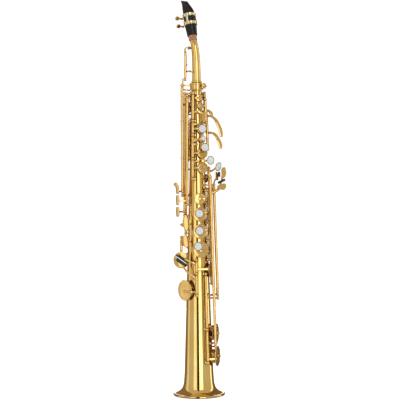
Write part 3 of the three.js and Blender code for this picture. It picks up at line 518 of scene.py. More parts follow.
fittings = {
    "tubeRadius": 2.5, "rodRadius": 1.05, "postRadius": 1.6, "ballRadius": 2.9, "gap": 0.4,
    "ribThickness": 1.4,
    "padGap": 0.35, "cupDepth": 2.6, "chimneyShare": 0.72, "armWidth": 1.9, "armThickness": 0.85,
    "pearlRadius": 6.8, "holderLift": 0.8,
}


def onLine(line, z):
    share = (z - line["low"]) / (line["high"] - line["low"])
    return onBody(line["angle"], line["lowRadius"] + (line["highRadius"] - line["lowRadius"]) * share, z)


def lineAlong(line):
    return (onLine(line, line["high"]) - onLine(line, line["low"])).normalized()


def hingeTube(line, low, high):
    # the tube that a key turns on, with a shallow collar near each end
    start, end = onLine(line, low), onLine(line, high)
    length, radius = (end - start).length, fittings["tubeRadius"]
    profile = [(0, 0), (radius, 0), (radius, 1.3), (radius - 0.25, 1.5), (radius - 0.25, 1.8),
               (radius, 2.0),
               (radius, length - 2.0), (radius - 0.25, length - 1.8), (radius - 0.25, length - 1.5),
               (radius, length - 1.3), (radius, length), (0, length)]
    return lathe(profile, "keyBrass", 20, 0.12, standing(start, end))


def post(line, z, foot, ends=True):
    # a turned pillar with a flared foot, a ball head and its pivot screw
    head = onLine(line, z)
    length, radius = hypot(head.x, head.y) - foot, fittings["postRadius"]
    profile = [(0, 0), (3.3, 0), (3.3, 0.5), (2.2, 1.0), (radius, 1.8), (radius * 0.86, length * 0.5),
               (radius, length - 2.6), (radius + 0.5, length - 1.6), (radius, length), (0, length)]
    shapes = lathe(profile, "brass", 18, 0.2, spot(line["angle"], foot, z))
    shapes += ball(head, fittings["ballRadius"], "brass")
    if ends:
        along = lineAlong(line) * (fittings["ballRadius"] + 0.25)
        shapes += rod(head - along, head + along, 1.25, "steel", 14, 0.15)
    return shapes


def needleSpring(line, z, length):
    # a thin spring from a post to the key beside it
    head, along = onLine(line, z), lineAlong(line)
    inward = Vector((head.x, head.y, 0)).normalized() * -2.9
    return rod(head + inward * 0.8, head + inward + along * length, 0.33, "spring", 8, 0.1)


# tone holes: the angle and height of each, its cup's radius and its chimney's height
chimneys = {"low": 2.4, "tall": 3.4}
cups = {
    "fSharpVent": {"angle": 9, "z": 347.5, "radius": 10, "chimney": chimneys["low"]},
    "f": {"angle": 10, "z": 320, "radius": 12.5, "chimney": chimneys["low"]},
    "e": {"angle": 10, "z": 290, "radius": 13, "chimney": chimneys["low"]},
    "d": {"angle": 11, "z": 258, "radius": 14, "chimney": chimneys["low"]},
    "b": {"angle": 32, "z": 471, "radius": 9, "chimney": chimneys["low"]},
    "bis": {"angle": 34, "z": 452, "radius": 5.8, "chimney": chimneys["low"]},
    "a": {"angle": 33, "z": 428, "radius": 9.6, "chimney": chimneys["low"]},
    "g": {"angle": 33, "z": 402, "radius": 9.6, "chimney": chimneys["low"]},
    "gSharp": {"angle": 128, "z": 384, "radius": 8, "chimney": chimneys["low"]},
    "frontF": {"angle": 14, "z": 525.5, "radius": 5.6, "chimney": chimneys["low"]},
    "palmD": {"angle": 30, "z": 512, "radius": 6, "chimney": chimneys["low"]},
    "palmEb": {"angle": 140, "z": 474, "radius": 6.4, "chimney": chimneys["low"]},
    "palmF": {"angle": 92, "z": 530, "radius": 5.2, "chimney": chimneys["low"]},
    "sideE": {"angle": -128, "z": 515, "radius": 6, "chimney": chimneys["low"]},
    "sideC": {"angle": -92, "z": 505, "radius": 6, "chimney": chimneys["low"]},
    "sideBb": {"angle": -146, "z": 455, "radius": 7, "chimney": chimneys["low"]},
    "highFSharp": {"angle": -152, "z": 529, "radius": 5, "chimney": chimneys["low"]},
    "fSharpTrill": {"angle": -128, "z": 266, "radius": 7.5, "chimney": chimneys["low"]},
    "eFlat": {"angle": 72, "z": 222.5, "radius": 12.8, "chimney": chimneys["low"]},
    "lowC": {"angle": -58, "z": 186.5, "radius": 18.2, "chimney": chimneys["tall"]},
    "lowCSharp": {"angle": 160, "z": 214, "radius": 14.5, "chimney": chimneys["tall"]},
    "lowB": {"angle": 86, "z": 109, "radius": 17.4, "chimney": chimneys["tall"], "armReach": 13.5},
    "lowBb": {"angle": 84, "z": 69, "radius": 18, "chimney": chimneys["tall"]},
}


def cupFoot(cup):
    return bodyRadius(cup["z"]) + cup["chimney"] + fittings["padGap"]


def cupTop(cup):
    return cupFoot(cup) + fittings["cupDepth"]


def chimney(cup):
    # a drawn tone hole with a rolled lip
    radius, wall = cup["radius"] * fittings["chimneyShare"], bodyRadius(cup["z"])
    low, top = wall * cos(min(1.2, radius / wall)) - 2, wall + cup["chimney"]
    profile = [(radius + 0.5, low), (radius, low + 1.5), (radius, top - 1), (radius + 0.35, top - 0.6),
               (radius + 0.3, top), (radius - 0.9, top), (radius - 1.1, top - 0.6), (radius - 1.1, low)]
    return lathe(profile, "brass", 40, 0.2, spot(cup["angle"], 0, cup["z"]))


def padCup(cup):
    # the pad, and the dished lid that holds it
    low, edge = cupFoot(cup), cup["radius"]
    place = spot(cup["angle"], 0, cup["z"])
    pad = [(0, low + 0.05), (edge - 1.4, low + 0.05), (edge - 0.7, low + 0.3), (edge - 0.5, low + 0.9),
           (0, low + 0.9)]
    lid = [(0, low + 0.7), (edge - 0.35, low + 0.7), (edge, low + 0.75), (edge, low + 1.9),
           (edge * 0.95, low + 2.35),
           (edge * 0.86, low + 2.5), (edge * 0.80, low + 2.42), (edge * 0.74, low + 2.62),
           (edge * 0.4, low + 2.85),
           (0, low + 2.95)]
    return lathe(pad, "leather", 36, 0.25, place) + lathe(lid, "keyBrass", 44, 0.2, place)


def cupArm(line, cup, z):
    # from the cup's middle over its edge and down to the hinge tube
    side = 1 if line["angle"] > cup["angle"] else -1
    apart = radians(line["angle"] - cup["angle"])
    head = onLine(line, z)
    reach = hypot(head.x, head.y)
    hinge = Vector((reach * sin(apart), reach * cos(apart)))
    top = cupTop(cup) + 0.5
    edge = min(cup.get("armReach", cup["radius"] + 1.2), abs(hinge.x))
    bend = Vector((side * edge, top))
    start = Vector((-side * min(3.0, cup["radius"] * 0.3), top))
    lower = bend.lerp(hinge, 0.55)
    flat = [start, Vector((side * edge * 0.45, top + 0.15)), bend + Vector((-side * 0.9, 0.1)), lower,
            hinge]
    place = spot(cup["angle"], 0, z)
    points = [place @ Vector((p.x, 0, p.y)) for p in flat]
    wide = fittings["armWidth"]
    shapes = sweep(points, [wide * 0.7, wide * 0.8, wide, wide, wide * 1.2], fittings["armThickness"],
                   "keyBrass")
    return shapes + lathe([(0, 0), (2.6, 0), (2.6, 0.5), (1.8, 1.0), (0, 1.1)], "keyBrass", 24, 0.2,
                          spot(cup["angle"], top - 0.3, z))


# fixed body
bodyPosts = {
    "sideE": [354], "sideC": [338, 530], "sideBb": [318, 480], "trill": [250, 279.5],
    "highFSharp": [286, 536],
    "palmD": [482, 524],
    "palmEb": [436, 502], "palmF": [486, 536], "gSharp": [366, 402], "lowCSharp": [196, 364],
    "bLever": [172, 372],
    "bbLever": [88, 386], "octave": [466, 530],
}


def guide(line, z):
    # a forked bracket that steadies a long hinge tube
    head = onLine(line, z)
    foot, reach = bodyRadius(z) - 0.3, hypot(head.x, head.y)
    shapes = lathe([(0, 0), (3, 0), (3, 0.6), (1.7, 1.2), (1.4, reach - foot - 3), (0, reach - foot - 3)],
                   "brass", 18, 0.2,
                   spot(line["angle"], foot, z))
    place = standing(head - lineAlong(line) * 1.1, head + lineAlong(line) * 1.1)
    return shapes + lathe([(2.6, 0), (3.5, 0), (3.5, 2.2), (2.6, 2.2), (2.6, 0)], "brass", 24, 0.2, place)


def drawBodyTube():
    low, top = body["bellTop"] + 0.4, body["top"]
    outside = [(bodyRadius(low), low), (bodyRadius(low), low + 0.1), (bodyRadius(top), top)]
    inside = [(bodyRadius(top) - body["wall"], top), (bodyRadius(low) - body["wall"], low)]
    shapes = lathe(outside, "brass", body["sides"], 0) + lathe(inside, "bore", body["sides"], 0)
    rings = ((low, bodyRadius(low) - body["wall"], bodyRadius(low)),
             (top, bodyRadius(top) - body["wall"], bodyRadius(top)))
    for z, inner, outer in rings:
        shapes += lathe([(inner, z), (outer, z)], "brass", body["sides"], 0)
    z, tall, proud = 539.5, 1.2, 0.6
    radius = bodyRadius(z)
    band = [(radius - 0.5, z), (radius + proud, z), (radius + proud, z + tall), (radius - 0.5, z + tall)]
    shapes += lathe(band, "brass", body["sides"], 0.3)
    for cup in cups.values():
        shapes += chimney(cup)
    for name, heights in bodyPosts.items():
        for z in heights:
            shapes += post(hinges[name], z, bodyRadius(z) - 0.3)
    for name, z, length in (("sideC", 530, -15), ("sideBb", 480, -14), ("sideE", 354, 16),
                            ("palmD", 524, -13),
                            ("palmEb", 502, -14), ("palmF", 536, -13), ("gSharp", 402, -12),
                            ("lowCSharp", 196, 16),
                            ("bLever", 172, 18), ("bbLever", 88, 18), ("octave", 530, -14),
                            ("trill", 279.5, -11),
                            ("highFSharp", 286, 16)):
        shapes += needleSpring(hinges[name], z, length)
    for name, z in (("sideC", 497), ("sideC", 438), ("sideE", 485), ("sideE", 420), ("sideBb", 400)):
        shapes += guide(hinges[name], z)
    for low, high in ((414, 492), (520, 538)):
        strip = [onBody(-80, bodyRadius(z) + 1.6, z) for z in (low, (low + high) / 2, high)]
        shapes += sweep(strip, [2.4, 2.4, 2.4], 1.6, "brass", steps=6, square=5)
    makePiece("bodyTube", shapes, "body", ["body_tube"])


def drawBell():
    inside = [(24.2, 51), (24.6, 40), (24.95, 30), (25.5, 22.5), (26.6, 16.6), (28.4, 11.8), (31.2, 8.1),
              (34.8, 5.6),
              (38.6, 3.6), (41.8, 1.7), (43.3, 0.5)]
    rim = [(43.9, 0.02), (44.7, 0.02), (45.5, 0.45), (45.95, 1.5), (45.8, 2.7), (45.1, 3.7), (44.2, 4.2),
           (43.6, 4.0)]
    outside = [(41.6, 4.35), (38.8, 5.4), (35.4, 7.2), (32.4, 9.6), (29.7, 13), (28, 17.5), (26.9, 23),
               (26.3, 30),
               (25.6, 40), (25.17, 52.3)]
    inside = lathe([(p.x, p.y) for p in splinePoints([(r, h, 0) for r, h in inside], 3)], "bore",
                   body["sides"], 0)
    flare = splinePoints([(r, h, 0) for r, h in outside[:9]], 3)
    shapes = inside + lathe([(43.3, 0.5), *rim, outside[0]], "brass", body["sides"], 0.25)
    shapes += lathe([(p.x, p.y) for p in flare] + outside[9:] + [(24.2, 52.3), (24.2, 51)], "brass",
                    body["sides"], 0)
    makePiece("bell", shapes, "body", ["bell"])


receiver = {"low": 540.0, "top": 553.0, "screwAngle": 80, "screwOut": 15.8, "lugOut": 13.6}


def drawReceiver():
    low, top = receiver["low"], receiver["top"]
    seat = bodyRadius(body["top"]) + 0.35
    profile = [(seat + 0.25, low), (11.3, low), (12, low + 1), (12, low + 2.6), (11.4, low + 3.2),
               (11.4, top - 3.4),
               (12.1, top - 2.6), (12.1, top - 1), (11.4, top), (seat, top), (seat + 0.25, low)]
    shapes = lathe(profile, "brass", 64, 0.3)
    for angle in (98, 62):
        place = spot(angle, receiver["lugOut"], top - 5, receiver["screwAngle"])
        shapes += box(2.8, 9, 6.2, "brass", place @ Matrix.Rotation(0, 4, "X"), 0.5)
    shapes += post(hinges["sideE"], 549, 10.8)
    makePiece("neckReceiver", shapes, "body", ["neck_receiver"])
    across = spot(receiver["screwAngle"], receiver["screwOut"], top - 5) @ Matrix.Rotation(radians(-90),
        4, "Y")
    shank = lathe([(0, -9), (1.2, -9), (1.2, 9), (0, 9)], "steel", 18, 0.2, across)
    grip = [(0, 7.9), (1.7, 7.9), (1.8, 8.6), (2.2, 9.2), (2.3, 12.2), (1.8, 12.8), (0, 12.9)]
    shapes = shank + lathe(grip, "brass", 14, 0.3, across)
    makePiece("neckScrew", shapes, "neck_screw", ["neck_screw"])


def drawBackFittings():
    z = 410
    place = spot(180, bodyRadius(z) + 0.4, z)
    pad = [(0, 0), (4, 0), (3.6, 1.2), (4, 2.3), (7.4, 2.8), (8, 3.6), (7.8, 4.6), (6, 5.3), (0, 5.6)]
    shapes = lathe(pad, "resin", 48, 0.4, place)
    makePiece("thumbRest", shapes, "body", ["thumb_rest"])

    z = 262
    foot = bodyRadius(z) + 0.4
    outline = [(-5.5, -10), (-3, -13), (3, -13), (5.5, -10), (5.5, 10), (3, 13), (-3, 13), (-5.5, 10)]
    shapes = plate(outline, 2.2, "brass", spot(180, foot, z), 0.5, round=2)
    path = [onBody(180, foot + 1.5, z - 6), onBody(181, foot + 9, z - 5), onBody(182, foot + 16, z + 2),
            onBody(182, foot + 18, z + 10)]
    shapes += sweep(path, [4.6, 5, 5, 4.2], 1.3, "brass", facing=(0, 0.3, 1), steps=10, square=3.2)
    for up in (-10, 10):
        shapes += lathe([(0, 0), (1.8, 0), (1.7, 0.7), (0, 1)], "steel", 20, 0.2,
                        spot(180, foot + 2.1, z + up))
    makePiece("thumbHook", shapes, "body", ["thumb_hook"])

    z = 345
    foot = bodyRadius(z) + 0.4
    shapes = plate(oval(4, 7), 2, "brass", spot(180, foot, z), 0.5, round=0)
    hoop = [(5 + 1.3 * cos(2 * pi * i / 16), 1.3 * sin(2 * pi * i / 16)) for i in range(16)]
    shapes += lathe(hoop, "brass", 48, 0, spot(180, foot, z) @ Matrix.Translation((0, 0, 6))
                    @ Matrix.Rotation(radians(90), 4, "Y"), True)
    makePiece("strapRing", shapes, "body", ["strap_ring"])


ribs = {
    "upper_stack": {"line": "upperStack", "posts": [383, 418, 460, 485, 534], "width": 4.2},
    "lower_stack": {"line": "lowerStack", "posts": [240, 274, 304.8, 335, 362], "width": 4.6},
    "low_c": {"line": "lowC", "posts": [178, 216, 240], "width": 5},
    "bell_key": {"line": "bellKeys", "posts": [60, 117.9, 215], "width": 5},
}


def drawRibs():
    for name, rib in ribs.items():
        line, heights = hinges[rib["line"]], rib["posts"]
        low, high, half = heights[0] - 4, heights[-1] + 4, rib["width"] / 2
        foot = lambda z: bodyRadius(z) + fittings["gap"]
        thick = fittings["ribThickness"] / 2
        path = [onBody(line["angle"], foot(z) + thick, z) for z in (low, (low + high) / 2, high)]
        shapes = sweep(path, [half, half, half], thick, "brass", steps=8, square=5)
        for z in heights:
            shapes += post(line, z, foot(z) + fittings["ribThickness"] * 0.6,
                           ends=z in (heights[0], heights[-1]))
            if z != heights[-1]:
                shapes += needleSpring(line, z, 12)
        makePiece(name + "Rib", shapes, "body", [name + "_rib"])
        start, end = onLine(line, heights[0] - 2), onLine(line, heights[-1] + 2)
        makePiece(name + "Rod", rod(start, end, fittings["rodRadius"], "steel"), "body", [name + "_rod"])


drawBodyTube()
drawBell()
drawReceiver()
drawBackFittings()
drawRibs()
print("body, bell, ribs and fittings drawn")


# keys
def keyTube(line, span):
    return hingeTube(line, span[0], span[1])


def pearlSeat(angle, radius, z, facing=None):
    # the turned brass seat round a pearl
    size = fittings["pearlRadius"]
    profile = [(0, -1), (size * 0.7, -1), (size * 0.92, -0.5), (size + 1, 0.3), (size + 1.05, 1.6),
               (size + 0.7, 2.0),
               (size + 0.3, 1.8), (size + 0.3, 0.7), (0, 0.7)]
    return lathe(profile, "keyBrass", 48, 0.2, spot(angle, radius, z, facing))


def pearlButton(angle, radius, z, facing=None):
    size = fittings["pearlRadius"]
    profile = [(0, 1.0), (size, 1.0), (size, 1.5), (size * 0.96, 1.95), (size * 0.8, 2.3),
               (size * 0.5, 2.12), (0, 2.0)]
    return lathe(profile, "pearl", 48, 0.2, spot(angle, radius, z, facing))


def heel(line, z, turn):
    # a short tab off the hinge tube with its adjusting screw and the cork under it
    line = hinges[line]
    tip, far = line["angle"] + turn, bodyRadius(z) + 7.5
    start = onLine(line, z)
    path = [start, onBody(line["angle"] + turn * 0.5, hypot(start.x, start.y) * 0.98, z),
            onBody(tip, far, z)]
    shapes = sweep(path, [2.4, 2.0, 2.5], 0.9, "keyBrass", steps=5)
    place = spot(tip, far, z)
    shapes += lathe([(0, 0.6), (1.5, 0.6), (1.5, 1.7), (1.2, 2.0), (0, 2.0)], "steel", 18, 0.15, place)
    return shapes + lathe([(0, -2.4), (1.9, -2.4), (1.9, -0.6), (0, -0.6)], "cork", 18, 0.1, place)


def stackKey(name, cup, line, span, opening, shapes, pearl=None, armShift=0):
    cup, line = cups[cup], hinges[line]
    brass = keyTube(line, span) + padCup(cup) + cupArm(line, cup, cup["z"] + armShift) + shapes
    if pearl:
        brass += pearlSeat(*pearl)
        makePiece(name + "Pearl", turnedBy(pearlButton(*pearl), line, opening), pearlBody[name],
                  [name + "_pearl"])
    makePiece(name + "Key", turnedBy(brass, line, opening), pearlBody[name], [name + "_key"])


pearlBody = {"f": "f_key_set", "e": "e_key_set", "d": "d_key_set", "b": "b_key_set", "a": "a_key_set",
             "g": "g_key_set",
             "f_sharp_vent": "f_sharp_vent", "bis": "bis"}
stack = {"open": 8, "lowKeyOpen": 9}


def overCup(cup, around=0, up=0):
    cup = cups[cup]
    return (cup["angle"] + around, cupTop(cup) + fittings["holderLift"], cup["z"] + up, cup["angle"])


def drawStackKeys():
    opened = stack["open"]
    stackKey("f_sharp_vent", "fSharpVent", "lowerStack", (338.1, 358.9), opened,
             heel("lowerStack", 341, -24))
    stackKey("f", "f", "lowerStack", (307.9, 331.9), opened, heel("lowerStack", 310.5, -20),
             overCup("f", -7, 2), 3)
    stackKey("e", "e", "lowerStack", (277.1, 301.7), opened, [], overCup("e", -7, 1.6), 3)
    stackKey("d", "d", "lowerStack", (243.1, 270.9), opened, [], overCup("d", -15, 6.4), -2)
    stackKey("b", "b", "upperStack", (463.1, 481.9), -opened, heel("upperStack", 479, 24), overCup("b"))

    bis = cups["bis"]
    touch = [(0, -2), (4.6, -2), (4.9, -0.4), (5, 0.8), (4.4, 1.4), (3, 1.2), (0, 1.1)]
    place = spot(bis["angle"], cupTop(bis) + fittings["holderLift"] + 0.6, 454)
    shapes = lathe(touch, "keyBrass", 36, 0.25, place)
    shapes += lathe([(0, 1.0), (4.0, 1.0), (4.0, 1.5), (3.4, 2.1), (1.8, 2.3), (0, 2.35)], "pearl", 36,
                    0.2, place)
    stackKey("bis", "bis", "upperStack", (447.4, 456.9), -opened, shapes + heel("upperStack", 449.8, 22))

    top = cupTop(cups["a"]) + 3.2
    stalk = sweep([onBody(33, top - 3.7, 429), onBody(35, top - 2.4, 433), onBody(38, top - 0.8, 438)],
                  [2, 2.2, 2.4], 1, "keyBrass")
    stackKey("a", "a", "upperStack", (421.1, 446.6), -opened, stalk + heel("upperStack", 443.5, 22),
             (39, top, 438))

    path = [onBody(-22, 20.6, 412), onBody(0, 22.5, 413.5), onBody(25, 24.5, 414), onBody(48, 26, 414.5),
            onBody(56, 26.6, 415)]
    shapes = sweep(path, [2.0, 1.7, 1.7, 2.0, 2.4], 0.95, "keyBrass", steps=8)
    stackKey("g", "g", "upperStack", (386.1, 414.9), -opened, shapes, (56, 27.5, 415, 42))


def plainKey(name, cup, line, span, shapes, rider, node, opening=0, armHeight=None):
    cup, line = cups[cup], hinges[line]
    brass = keyTube(line, span) + padCup(cup) + cupArm(line, cup, armHeight or cup["z"]) + shapes
    return makePiece(name, turnedBy(brass, line, opening), rider, [node])


def collar(line, z, radius=2.9, tall=3.2):
    # the boss where an arm meets its hinge tube
    line = hinges[line]
    start = onLine(line, z - tall / 2)
    return lathe([(0, 0), (radius, 0), (radius, tall), (0, tall)], "keyBrass", 20, 0.5,
                 standing(start, onLine(line, z + tall)))


# leaf-shaped touches for the left palm: the line along each, its half widths and the way its face looks
palmTouches = {
    "D": {"path": [(66, 18, 493.5), (64.5, 27, 493.5), (63.5, 36, 487.5), (63.5, 42.5, 477),
                   (64, 46.5, 466), (64.5, 48, 455.5)],
          "widths": [2.2, 2.3, 2.9, 3.8, 4.1, 2.8]},
    "Eb": {"path": [(90, 18.5, 464.5), (84.5, 26, 464.5), (82, 33, 460.5), (80.6, 38.4, 452),
                    (80.2, 41.8, 443), (80, 42.6, 435.5)],
           "widths": [2.0, 2.3, 3.0, 3.8, 4.0, 2.6]},
    "F": {"path": [(122, 17, 505), (110, 22.5, 504.5), (101, 25.8, 500), (98, 27.4, 493.5)],
          "widths": [1.9, 2.2, 3.4, 2.6]},
}


def drawPalmKeys():
    keys = (("D", "palmD", (485.2, 520.8), "palm_d"), ("Eb", "palmEb", (439.2, 498.8), "palm_e_flat"),
            ("F", "palmF", (489.2, 532.8), "palm_f"))
    for label, line, span, rider in keys:
        touch = palmTouches[label]
        path = [onBody(*point) for point in touch["path"]]
        shapes = sweep(path, touch["widths"], 1.3, "keyBrass", facing=(0.45, -1, 0.35), steps=10,
                       sides=20, square=2.3)
        shapes += collar(line, path[0].z)
        plainKey("palm" + label + "Key", line, line, span, shapes, rider, rider + "_key")

    path = [onBody(-22, 17.6, 500), onBody(5, 19, 501), onBody(28, 19.8, 499), onBody(36, 20.4, 496)]
    shapes = sweep(path, [1.9, 1.6, 1.6, 2.2], 0.9, "keyBrass", steps=8) + collar("upperStack", 500)
    shapes += plate(oval(3.9, 9.6), 1.4, "keyBrass", spot(37, 19.6, 491.5), 0.45, 0.5, 0)
    plainKey("frontFKey", "frontF", "upperStack", (488.1, 530.9), shapes, "front_f", "front_f_key")


sideTouches = {
    "E": {"z": 366, "half": 9.4, "arm": 361, "flare": 6, "line": "sideE", "span": (357.2, 545.8),
          "node": "side_e"},
    "C": {"z": 345.6, "half": 8.8, "arm": 344, "flare": 0, "line": "sideC", "span": (341.2, 526.8),
          "node": "side_c"},
    "Bb": {"z": 325, "half": 8.8, "arm": 325, "flare": 0, "line": "sideBb", "span": (321.2, 476.8),
           "node": "side_b_flat"},
}


def drawSideKeys():
    x, y = -35, -14
    for label, touch in sideTouches.items():
        z, half, flare = touch["z"], touch["half"], touch["flare"]
        path = [(x - flare, y, z + half), (x - flare * 0.3, y, z + half * 0.6), (x, y, z), (x, y, z - half)]
        shapes = sweep(path, [2.8, 3.8, 4.0, 3.2], 2.1, "keyBrass", facing=(-1, -0.6, 0.1), steps=10,
                       sides=20, square=2.8)
        hinge = onLine(hinges[touch["line"]], touch["arm"])
        shapes += sweep([hinge, hinge.lerp(Vector((x, y, touch["arm"])), 0.5),
                         Vector((x, y, touch["arm"]))], [1.9, 1.4, 1.7],
                        1.1, "keyBrass", facing=(0, -1, 0), steps=6)
        shapes += collar(touch["line"], touch["arm"])
        node = touch["node"]
        plainKey("side" + label + "Key", touch["line"], touch["line"], touch["span"], shapes, node,
                 node + "_key")


def drawTrillKeys():
    line = hinges["highFSharp"]
    path = [onLine(line, 299), onBody(-105, 29, 300), onBody(-80, 30.5, 302), onBody(-60, 28.5, 304),
            onBody(-50, 26.4, 304)]
    shapes = sweep(path, [2.2, 1.7, 1.6, 1.6, 1.9], 1.1, "keyBrass", steps=8) + collar("highFSharp", 299)
    shapes += plate(oval(6.6, 14.2), 1.4, "keyBrass", spot(-48.5, 26.6, 305, -14, 4), 0.45, 0.6, 0)
    plainKey("highFSharpKey", "highFSharp", "highFSharp", (289.2, 532.8), shapes, "high_f_sharp",
             "high_f_sharp_key")
    line = hinges["trill"]
    shapes = sweep([onLine(line, 271), onBody(-66, 28.6, 272), onBody(-52, 27.6, 274)], [1.8, 1.5, 1.8],
                   1.1, "keyBrass")
    shapes += plate(oval(6.4, 11.6), 1.4, "keyBrass", spot(-49.5, 27.6, 273, -14, 10), 0.45, 0.6,
                    0) + collar("trill", 271)
    plainKey("fSharpTrillKey", "fSharpTrill", "trill", (253.2, 276.2), shapes, "f_sharp_trill",
             "f_sharp_trill_key")


# the round touch that the right little finger rolls across
disc = {"angle": -60, "radius": 33.5, "z": 240, "facing": -16, "roll": -34, "size": 14.5,
        "rollerRadius": 2.3, "rollerHalf": 8.4}


def discPlace(side):
    return spot(disc["angle"], disc["radius"], disc["z"], disc["facing"], disc["roll"] + side)


def halfDisc(side):
    # half a round plate with a notch along its straight edge for its roller
    swing = acos(0.35 / disc["size"])
    notch, deep = disc["rollerHalf"] + 0.6, 3 + disc["rollerRadius"] + 0.6
    outline = []
    steps = 40
    for i in range(steps + 1):
        turn = pi / 2 - swing + 2 * swing * i / steps
        outline.append((disc["size"] * cos(turn), disc["size"] * sin(turn)))
    outline += [(-notch, outline[-1][1]), (-notch, deep), (notch, deep), (notch, outline[0][1])]
    return plate(outline, 2.2, "keyBrass", discPlace(side), 0.45, round=0.5)


def discRoller(side):
    half, radius = disc["rollerHalf"], disc["rollerRadius"]
    place = discPlace(side) @ Matrix.Translation((0, 3, 1.3)) @ Matrix.Rotation(radians(90), 4, "Y")
    return lathe([(0, -half), (radius * 0.8, -half), (radius, -half + 0.8), (radius, half - 0.8),
                  (radius * 0.8, half), (0, half)],
                 "resin", 28, 0.3, place)


def rightLittleFinger():
    line = hinges["lowC"]
    path = [onBody(-6, 25.2, 232), onBody(-22, 29, 236), onBody(-38, 31.5, 240), onBody(-46, 32.6, 242)]
    shapes = halfDisc(0) + sweep(path, [2.2, 1.7, 1.8, 2.4], 1.0, "keyBrass", steps=8) + collar("lowC", 232)
    plainKey("eFlatKey", "eFlat", "lowC", (219.1, 236.9), shapes, "e_flat", "e_flat_key", 0, 223.7)
    makePiece("eFlatRoller", discRoller(0), "e_flat_roller_body", ["e_flat_roller"])

    path = [onBody(-6, 25.8, 206), onBody(-24, 29.5, 213), onBody(-40, 32, 221), onBody(-52, 32.6, 228)]
    touch = halfDisc(180) + sweep(path, [2.2, 1.7, 1.8, 2.4], 1.0, "keyBrass", steps=8)
    opened = stack["lowKeyOpen"]
    shapes = turnedBy(touch, line, -opened) + collar("lowC", 206)
    plainKey("lowCKey", "lowC", "lowC", (181.1, 212.7), shapes, "low_c", "low_c_key", opened, 184.6)
    makePiece("lowCRoller", discRoller(180), "low_c_roller_body", ["low_c_roller"])


# the flat touches for the left little finger, all facing partly forwards
table = {"facing": 40, "thick": 2.0}


def tableTouch(outline, x, y, z):
    place = spot(atan2(x, -y) * 180 / pi, hypot(x, y), z, table["facing"])
    return plate(outline, table["thick"], "keyBrass", place, 0.5, 0.3, 1.6)


def tableRoller(start, end):
    return rod(Vector(start), Vector(end), 2.2, "resin", 28, 0.7)


def leftLittleFinger():
    path = [onLine(hinges["gSharp"], 396), onBody(80, 28, 398), onBody(72, 34, 402), onBody(69, 38, 404)]
    shapes = sweep(path, [2.2, 1.8, 1.8, 2.2], 1.1, "keyBrass", steps=8) + collar("gSharp", 396)
    place = spot(68, 39.5, 404, 48, -42) @ Matrix.Diagonal((0.9, 1.25, 1, 1))
    seat = [(0, -1), (5.4, -1), (6.9, -0.3), (7.2, 0.6), (7.2, 1.6), (6.9, 1.9), (6.5, 1.7), (6.5, 0.7),
            (0, 0.7)]
    shapes += lathe(seat, "keyBrass", 48, 0.2, place)
    plainKey("gSharpKey", "gSharp", "gSharp", (369.2, 398.8), shapes, "g_sharp", "g_sharp_key")
    button = [(0, 1.1), (6.1, 1.1), (6.1, 1.7), (5.4, 2.3), (3.6, 2.75), (0, 2.95)]
    makePiece("gSharpPearl", lathe(button, "pearl", 48, 0.2, place), "g_sharp", ["g_sharp_pearl"])

    path = [onLine(hinges["lowCSharp"], 352), onBody(110, 28, 364), onBody(98, 31, 379),
            onBody(84, 34, 384), onBody(76.7, 35.1, 388)]
    shapes = sweep(path, [2.4, 2.0, 2.0, 2.2], 1.2, "keyBrass", steps=8) + collar("lowCSharp", 352)
    shapes += tableTouch([(-2.4, -7), (3, -9), (4, 3), (-1, 8), (-2.4, 6)], 33.8, -7.6, 388)
    plainKey("lowCSharpKey", "lowCSharp", "lowCSharp", (199.2, 360.8), shapes, "low_c_sharp",
             "low_c_sharp_key")

    line = hinges["bLever"]
    path = [onLine(line, 362), onBody(77, 36, 364), onBody(80, 41.8, 374), onBody(73, 46.6, 387)]
    shapes = keyTube(line, (175.2, 368.8)) + sweep(path, [2.4, 1.9, 2.0, 2.4], 1.3, "keyBrass",
                                                   steps=8) + collar("bLever", 362)
    shapes += tableTouch([(-4.4, -3.6), (0, -3.2), (6.5, 1.2), (8.2, 8), (5.5, 18), (0, 17.5), (-3.4, 13),
                          (-2.2, 4)], 44.4, -14.4, 385.5)
    shapes += linkArm(line, 88, 72, 36.2, 178.5)
    makePiece("lowBLever", shapes, "low_b_table", ["low_b_lever"])
    makePiece("lowBRoller", tableRoller((38.6, -11.4, 386), (38.6, -11.4, 395)), "low_b_roller_body",
              ["low_b_roller"])

    line = hinges["bbLever"]
    path = [onLine(line, 356), onBody(55, 34, 358), onBody(64, 40.5, 363), onBody(69, 45, 370)]
    shapes = keyTube(line, (91.2, 382.8)) + sweep(path, [2.4, 1.9, 2.0, 2.4], 1.3, "keyBrass",
                                                  steps=8) + collar("bbLever", 356)
    shapes += tableTouch([(-11.5, -1), (-8, -5.4), (0, -7.4), (6, -6.8), (10, -2.5), (10.2, 3.4),
                          (4, 4.6), (-3, 3.6)], 42.5, -16, 370)
    shapes += linkArm(line, 62, 50, 37.7, 93.8)
    makePiece("lowBFlatLever", shapes, "low_b_flat_table", ["low_b_flat_lever"])
    makePiece("lowBFlatRoller", tableRoller((37, -23.2, 375.4), (48.4, -13.6, 381)),
              "low_b_flat_roller_body", ["low_b_flat_roller"])


def linkArm(line, fromAngle, toAngle, radius, z, half=1.4, wide=1.8):
    # a short arm that lies round the body at one height
    count = max(4, ceil(abs(toAngle - fromAngle) / 8))
    path = [onBody(fromAngle + (toAngle - fromAngle) * i / count, radius, z) for i in range(count + 1)]
    return sweep(path, [wide, wide], half, "keyBrass", steps=2)


